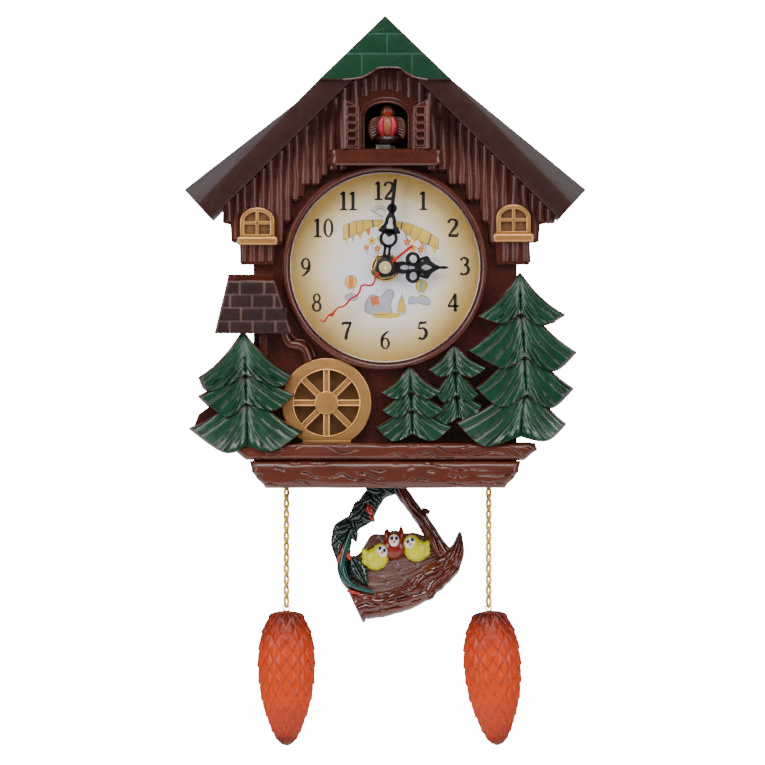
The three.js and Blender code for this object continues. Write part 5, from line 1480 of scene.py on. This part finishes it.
def make_picture():
    """A fairground of plain shapes: awnings with pennants, sun, hill, balloons, tent and flowers."""
    picture = Solid(AWNING_YELLOW, SAGE_INK, GREY_INK, ORANGE_INK, PEN_INK)
    awning(picture, [(-20.6, 20.6), (-15.6, 22.6), (-9.5, 23.4), (-1.5, 23.4)],
           [(-20.4, 13.6), (-15.6, 15.8), (-9.0, 18.6), (-1.0, 22.2)])
    awning(picture, [(4.0, 23.0), (11.7, 21.7), (20.0, 18.2), (26.2, 14.0)],
           [(4.2, 21.4), (10.4, 17.0), (17.6, 12.8), (26.2, 9.2)])
    pen(picture, [(-7.4, 28.6), (-4.2, 26.6), (-0.8, 25.0)], 0.2)
    pen(picture, [(-4.6, 26.8), (-4.3, 28.4), (-2.8, 29.2), (-1.0, 28.8), (0.2, 27.4)], 0.2)
    for a in (math.radians(158 - 17 * k) for k in range(8)):
        pen(picture, [(-2.4 + 3.4 * math.cos(a), 26.6 + 3.2 * math.sin(a)),
                      (-2.4 + 4.6 * math.cos(a), 26.6 + 4.3 * math.sin(a))], 0.18)
    for x, z, size, slot in FLOWERS:
        flower(picture, x, z, size, slot)
    balloon(picture, -16.8, -7.0, 2.9, ORANGE)
    patch(picture, ellipse(-16.6, -14.6, 3.2, 1.7, 20), PALE)
    pen(picture, ellipse(-16.6, -14.6, 3.2, 1.7, 16), 0.16, closed=True)
    hill = smooth_outline(HILL)
    patch(picture, hill, PALE)
    pen(picture, hill[::4], 0.18, closed=True)
    patch(picture, [(-7.4, -14.6), (-3.6, -13.8), (-2.6, -18.0), (-6.6, -19.0)], ORANGE, 0.06)
    patch(picture, ellipse(0.6, -23.4, 7.0, 1.5, 28), YELLOW, 0.062)
    patch(picture, TENT, YELLOW, 0.06)
    pen(picture, TENT, 0.16, closed=True)
    pen(picture, [(8.2, -14.0), (8.3, -12.4)], 0.2)
    balloon(picture, 17.8, -8.8, 2.7, SAGE)
    bush = smooth_outline(BUSH)
    patch(picture, bush, PALE, 0.045)
    pen(picture, bush[::4], 0.16, closed=True)
    picture.piece("dial_picture", "clock", slot_name="dial_paper")


# ---------------------------------------------------------------- nest pendulum
TEAL = moulded("stem_teal_paint", (0.008, 0.055, 0.045), rough=0.15, coat=0.4)
NEST_WOOD = moulded("nest_wood_paint", (0.085, 0.014, 0.007), rough=0.13, coat=0.4, mottle=0.45, pits=0.1)
NEST_FRONT = level("nest_bob", 0, 1)
NEST_BACK = level("nest_bob", 1, 1)
WEAVE_SLOT, WOOD_SLOT, LEAF_SLOT, STEM_SLOT, BERRY_SLOT = range(5)
BAR_COLUMNS = 26


def carved_bar(solid, path, widths, front, back, ridges, seed, slot=WOOD_SLOT):
    """A gnarled bar along a path, carved lengthwise, flat at the back."""
    centre = spline_xz(path, 10)
    span = len(path) - 1
    rows = []
    total = len(centre) - 1
    for i, p in enumerate(centre):
        place = i / total * span
        k = min(int(place), span - 1)
        width = widths[k] + (widths[k + 1] - widths[k]) * (place - k)
        a, b = centre[max(i - 1, 0)], centre[min(i + 1, total)]
        along = (b - a).normalized()
        side = Vector((along.z, 0, -along.x))
        end = bulge(min(1.0, min(i, total - i) / 4 + 0.12))
        row = []
        for j in range(BAR_COLUMNS + 1):
            u = 2 * j / BAR_COLUMNS - 1
            knobbly = 1 + 0.12 * wobble(p.x, p.z, 0.25, seed + (3 if u > 0 else 0))
            q = p + side * (u * width / 2 * (0.7 + 0.3 * end) * knobbly)
            dome = (1 - abs(u) ** 2.6) ** 0.5 * end
            groove = groove_at((ridges * u + 1.6 * wobble(q.x, q.z, 0.11, seed)) / 2) ** 2
            knot = 0.9 * wobble(q.x, q.z, 0.2, seed + 6)
            row.append((q.x, back + (front - back) * (0.35 + 0.65 * dome) + (1.2 * groove + knot) * dome, q.z))
        rows.append(row)
    solid.relief(rows, back, slot)


LEAF_PLUMP = 1.25
LEAF_ROWS, LEAF_COLUMNS = 24, 16


def leaf(solid, base, tip, plump, front):
    """A pointed leaf with a sunk midrib and slanting veins."""
    base, tip = Vector((base[0], 0, base[1])), Vector((tip[0], 0, tip[1]))
    along = (tip - base).normalized()
    side = Vector((along.z, 0, -along.x))
    length = (tip - base).length
    rows = []
    for i in range(LEAF_ROWS + 1):
        t = i / LEAF_ROWS
        outline = math.sin(math.pi * min(1, t * 0.93 + 0.05)) ** 0.8 * (1 - 0.35 * t)
        half = LEAF_PLUMP * plump * length * outline + 0.05
        jag = 1 + 0.1 * math.sin(t * 40)
        row = []
        for j in range(LEAF_COLUMNS + 1):
            u = 2 * j / LEAF_COLUMNS - 1
            q = base + along * (t * length) + side * (u * half * jag)
            rib = max(0.0, 1 - abs(u) * 6) * 0.9
            vein = groove_at(t * 5 - abs(u) * 0.9) ** 3 * 0.6 * (1 - abs(u))
            dome = (1 - abs(u) ** 3) * math.sin(math.pi * min(1, max(0, t * 0.9 + 0.08))) ** 0.5
            row.append((q.x, front + 1.9 * (1 - dome) + rib + vein, q.z))
        rows.append(row)
    solid.relief(rows, front + 3.2, LEAF_SLOT)


# Each bar is its path, the width at each of its points, front, back, ridges and seed.
LEAF_HANDLE = (
    [(5.4, -107.5), (-2.0, -110.6), (-6.8, -114.6), (-10.2, -121.2), (-15.2, -125.6), (-20.4, -130.6),
     (-21.6, -137.2), (-20.8, -144.2), (-20.2, -151.0), (-16.2, -157.2), (-9.9, -160.6)],
    [7, 8.5, 10.5, 10.5, 8.5, 11, 10, 6.5, 6, 6, 4], NEST_FRONT + 1.8, NEST_BACK, 5, 4.0,
)
WOOD_HANDLE = (
    [(5.8, -107.6), (11.2, -115.0), (16.8, -122.4), (21.6, -129.6), (25.4, -135.8), (29.6, -142.4)],
    [7.0, 6.2, 6.4, 7.0, 7.6, 9.0], NEST_FRONT, NEST_BACK, 2.6, 11.0,
)
BOUGHS = [
    ([(-14.7, -167.7), (-11.0, -166.2), (-5.2, -166.3), (3.7, -164.8), (12.6, -161.2), (19.6, -156.6),
      (25.7, -151.6), (30.9, -146.9), (34.6, -141.4), (36.3, -136.6), (37.0, -130.4)],
     [19.5, 16.2, 13.8, 13.0, 13.6, 15.0, 14.0, 12.5, 9.6, 5.4, 1.2], NEST_FRONT - 0.6, NEST_BACK, 3.4, 17.0),
    ([(8.6, -160.0), (15.4, -158.6), (20.0, -152.4), (26.6, -149.6), (31.6, -142.6)],
     [3.6, 5.0, 5.6, 4.6, 2.4], NEST_FRONT - 1.4, NEST_FRONT + 2, 1.6, 23.0),
    ([(-9.8, -164.2), (-2.4, -166.8), (5.6, -165.2), (11.4, -163.4)],
     [2.2, 3.4, 3.2, 1.6], NEST_FRONT - 1.3, NEST_FRONT + 2, 1.2, 27.0),
]
LEAVES = [
    ((4.4, -106.6), (7.4, -113.2), 0.30), ((-1.4, -107.4), (4.8, -111.8), 0.30),
    ((-1.8, -110.2), (-9.6, -109.0), 0.32), ((-6.4, -110.6), (-1.8, -116.0), 0.36),
    ((-9.2, -113.4), (-4.0, -119.0), 0.36), ((-6.6, -112.8), (-12.4, -116.2), 0.32),
    ((-10.2, -115.6), (-16.4, -120.0), 0.34), ((-10.6, -118.6), (-18.2, -124.8), 0.32),
    ((-12.2, -121.6), (-5.6, -125.0), 0.36), ((-9.8, -117.4), (-6.6, -123.4), 0.32),
    ((-15.6, -124.2), (-14.2, -129.6), 0.34), ((-17.2, -127.0), (-26.2, -130.4), 0.34),
    ((-19.0, -130.0), (-26.6, -137.4), 0.36), ((-20.0, -133.6), (-23.2, -142.6), 0.30),
    ((-16.6, -127.8), (-14.2, -135.4), 0.26), ((-16.4, -143.2), (-8.8, -157.2), 0.24),
]
BERRIES = [
    (-7.6, -119.6, 1.7, 3.0, -20), (-6.4, -123.6, 1.2, 2.2, -30), (-20.6, -139.8, 1.5, 3.2, 14),
    (-18.4, -142.0, 1.3, 2.6, -30), (-22.2, -142.8, 1.2, 3.4, 20), (-15.6, -160.2, 3.8, 1.0, 12),
]
STEM = [
    (-16.5, -129.1), (-18.8, -136.2), (-20.8, -143.2), (-21.2, -149.3), (-19.4, -154.0), (-14.1, -157.7),
    (-5.0, -160.3),
]
PANEL_TOP = [
    (-19.4, -142.0), (-13.2, -141.4), (-7.0, -132.2), (-0.4, -131.6), (4.6, -129.6), (9.0, -131.0),
    (15.4, -131.0), (22.6, -134.4), (29.0, -141.2),
]
PANEL_LOW = [
    (-18.8, -152.6), (-13.6, -158.6), (-5.6, -161.4), (2.4, -160.6), (8.6, -158.6), (14.6, -155.4),
    (20.4, -151.2), (25.8, -146.2), (29.6, -142.4),
]
PANEL_ROWS = 48
STRANDS = 8.5


def make_basket(nest):
    """The woven panel: strands across it that pass over and under slanting stakes."""
    top, low = spline_xz(PANEL_TOP, 12), spline_xz(PANEL_LOW, 12)
    rows = []
    for i in range(PANEL_ROWS + 1):
        v = i / PANEL_ROWS
        row = []
        for j, (a, b) in enumerate(zip(top, low)):
            u = j / (len(top) - 1)
            p = a.lerp(b, v)
            across = u * 5.5 - 1.6 * v + 0.35
            strand = groove_at(v * STRANDS + 1.2 * u * (1 - u)) ** 1.6
            stake = groove_at(across) ** 5
            weave = 0.5 * math.sin(math.pi * across) * (1 if int(v * STRANDS) % 2 else -1)
            rim = min(1.0, v * 12) * min(1.0, u * 14) * min(1.0, (1 - u) * 14)
            y = NEST_FRONT + 3.2 - 1.2 * math.sin(math.pi * u)
            row.append((p.x, y + 0.85 * strand + 0.9 * stake - 0.3 * weave + 1.2 * (1 - rim), p.z))
        rows.append(row)
    nest.relief(rows, NEST_BACK, WEAVE_SLOT)


def make_nest():
    """A basket with a leafy handle and a wooden one, on a gnarled bough."""
    nest = Solid(BASKET, NEST_WOOD, LEAF_GREEN, TEAL, BERRY_RED)
    make_basket(nest)
    carved_bar(nest, *LEAF_HANDLE, slot=LEAF_SLOT)
    carved_bar(nest, *WOOD_HANDLE)
    twig = spline([(18.4, -23, -119.6), (20.2, -23.5, -120.0), (21.9, -23.5, -121.0)], 4)
    nest.tube(twig, 1.3, 10, WOOD_SLOT)
    for bough in BOUGHS:
        carved_bar(nest, *bough)
    for number, (base, tip, plump) in enumerate(LEAVES):
        leaf(nest, base, tip, plump, NEST_FRONT + 0.3 - 0.5 * (number % 3))
    path = spline([Vector((x, NEST_FRONT - 0.2, z)) for x, z in STEM], 8)
    radii = [1.5 - 1.0 * abs(2 * i / (len(path) - 1) - 1) ** 3 for i in range(len(path))]
    nest.tube(path, radii, 14, STEM_SLOT)
    for x, z, half_width, half_height, turn in BERRIES:
        nest.ellipsoid((x, NEST_FRONT + 0.6, z), (half_width, 1.5, half_height), BERRY_SLOT, turn)
    nest.piece("woven_nest", "pendulum", ["nest_bob"], slot_name="brown_plastic", smooth=50)


def chick(nest, x, z, size, side, slot, tufts=False):
    """A plain round chick looking out of the nest; side is the way its tail points."""
    front = NEST_FRONT - 0.8
    nest.ellipsoid((x, front + 3.4, z), (6.4 * size, 3.9, 5.9 * size), slot, turn=side * 24)
    head = (x - side * 2.3 * size, front + 2.9, z + 3.6 * size)
    nest.ellipsoid(head, (4.5 * size, 4.0, 4.4 * size), slot)
    if tufts:
        for sign in (-1, 1):
            tuft = spline([(x + sign * 2.4, front + 3.6, z + 4.0), (x + sign * 3.4, front + 3.8, z + 7.6),
                           (x + sign * 3.3, front + 4.0, z + 10.4 + 0.8 * sign)], 6)
            count = len(tuft) - 1
            nest.tube(tuft, [2.6 * (1 - (i / count) ** 1.3) + 0.12 for i in range(count + 1)], 14, slot)
    else:
        for k in range(3):
            plume = spline([(x + side * (2.0 + 0.5 * k) * size, front + 3.0, z + (0.6 - 1.3 * k) * size),
                            (x + side * (5.2 + 0.3 * k) * size, front + 3.2, z + (2.6 - 1.9 * k) * size),
                            (x + side * (7.4 - 0.5 * k) * size, front + 3.6, z + (5.6 - 2.9 * k) * size)], 6)
            count = len(plume) - 1
            radii = [1.9 * math.sin(math.pi * (0.25 + 0.72 * i / count)) + 0.1 for i in range(count + 1)]
            nest.tube(plume, radii, 12, slot)
    face_x, face_z = x - side * 3.0 * size, z + 3.9 * size
    face = (2.7 * size, 1.6, 3.2 * size)
    nest.ellipsoid((face_x, front + 0.2, face_z), face, 2, turn=side * 26, rings=20, sides=32)
    for sign in (-1, 1):
        eye_z = face_z + 1.1 * size + sign * side * 0.5
        nest.ellipsoid((face_x + sign * 1.15 * size, front - 1.1, eye_z), (0.85 * size, 0.55, 1.0 * size), 3)
    beak = [(face_x, front - out, face_z - drop) for out, drop in ((0.9, 0.5), (1.9, 0.9), (2.5, 1.4))]
    nest.tube(beak, [0.85 * size, 0.55 * size, 0.08], 10, 4)


def make_chicks():
    chicks = Solid(CHICK_YELLOW, CHICK_RED, FACE_WHITE, INK, ORANGE_INK)
    chick(chicks, 4.4, -138.4, 0.98, 0, 1, tufts=True)
    chick(chicks, -4.4, -143.6, 0.95, -1, 0)
    chick(chicks, 15.2, -139.4, 0.95, 1, 0)
    chicks.piece("nest_chicks", "pendulum", slot_name="bird_paint")


# ---------------------------------------------------------------- CAD nodes that stay
NODE_FINISHES = [
    (BROWN, ["front_shell", "back_cover", "battery_door"]),
    (ROOF_BROWN, ["battery_box", "bird_box", "pendulum_rod"]),
    (STEEL, [*(f"back_screw_{number}" for number in range(1, 5)), "bird_motor", "rotor", "speaker"]),
    (NUT_BRASS, ["centre_wheel", "hour_wheel", "seconds_wheel", "third_wheel", "motion_wheel"]),
    (BRASS, ["left_hook", "right_hook"]),
    (GREY, ["movement_case", "movement_cover", "pendulum_drive"]),
    (WHITE, ["bird_carriage", "bird_pinion", "intermediate_wheel", "set_knob", "sound_switch"]),
    (CELL_BLUE, ["movement_battery", "sound_battery_1", "sound_battery_2"]),
    (COPPER, ["stepper_coil"]),
    (BOARD, ["sound_board"]),
    (DIAL_CARD, ["dial_plate"]),
    (LENS, ["dial_lens"]),
]


def finish_nodes():
    for material, nodes in NODE_FINISHES:
        for node in nodes:
            obj = bpy.data.objects[node]
            obj.data.materials.clear()
            obj.data.materials.append(material)


make_camera()
make_stage()
make_weights()
make_roof()
make_cap()
make_planks()
make_doorway()
make_balcony()
for shutter_side in SIDES:
    make_shutter(shutter_side)
make_bird()
make_window("left", -62.8, 15.1)
make_window("right", 63.0, 16.6)
make_mill()
make_flume()
make_wheel()
make_trees()
make_logs()
make_bezel()
make_numerals()
make_hand("minute", 6.7, minute_shapes())
make_hand("hour", 90.0, hour_shapes())
make_second_hand()
make_nut()
make_picture()
make_nest()
make_chicks()
finish_nodes()
bpy.context.view_layer.update()
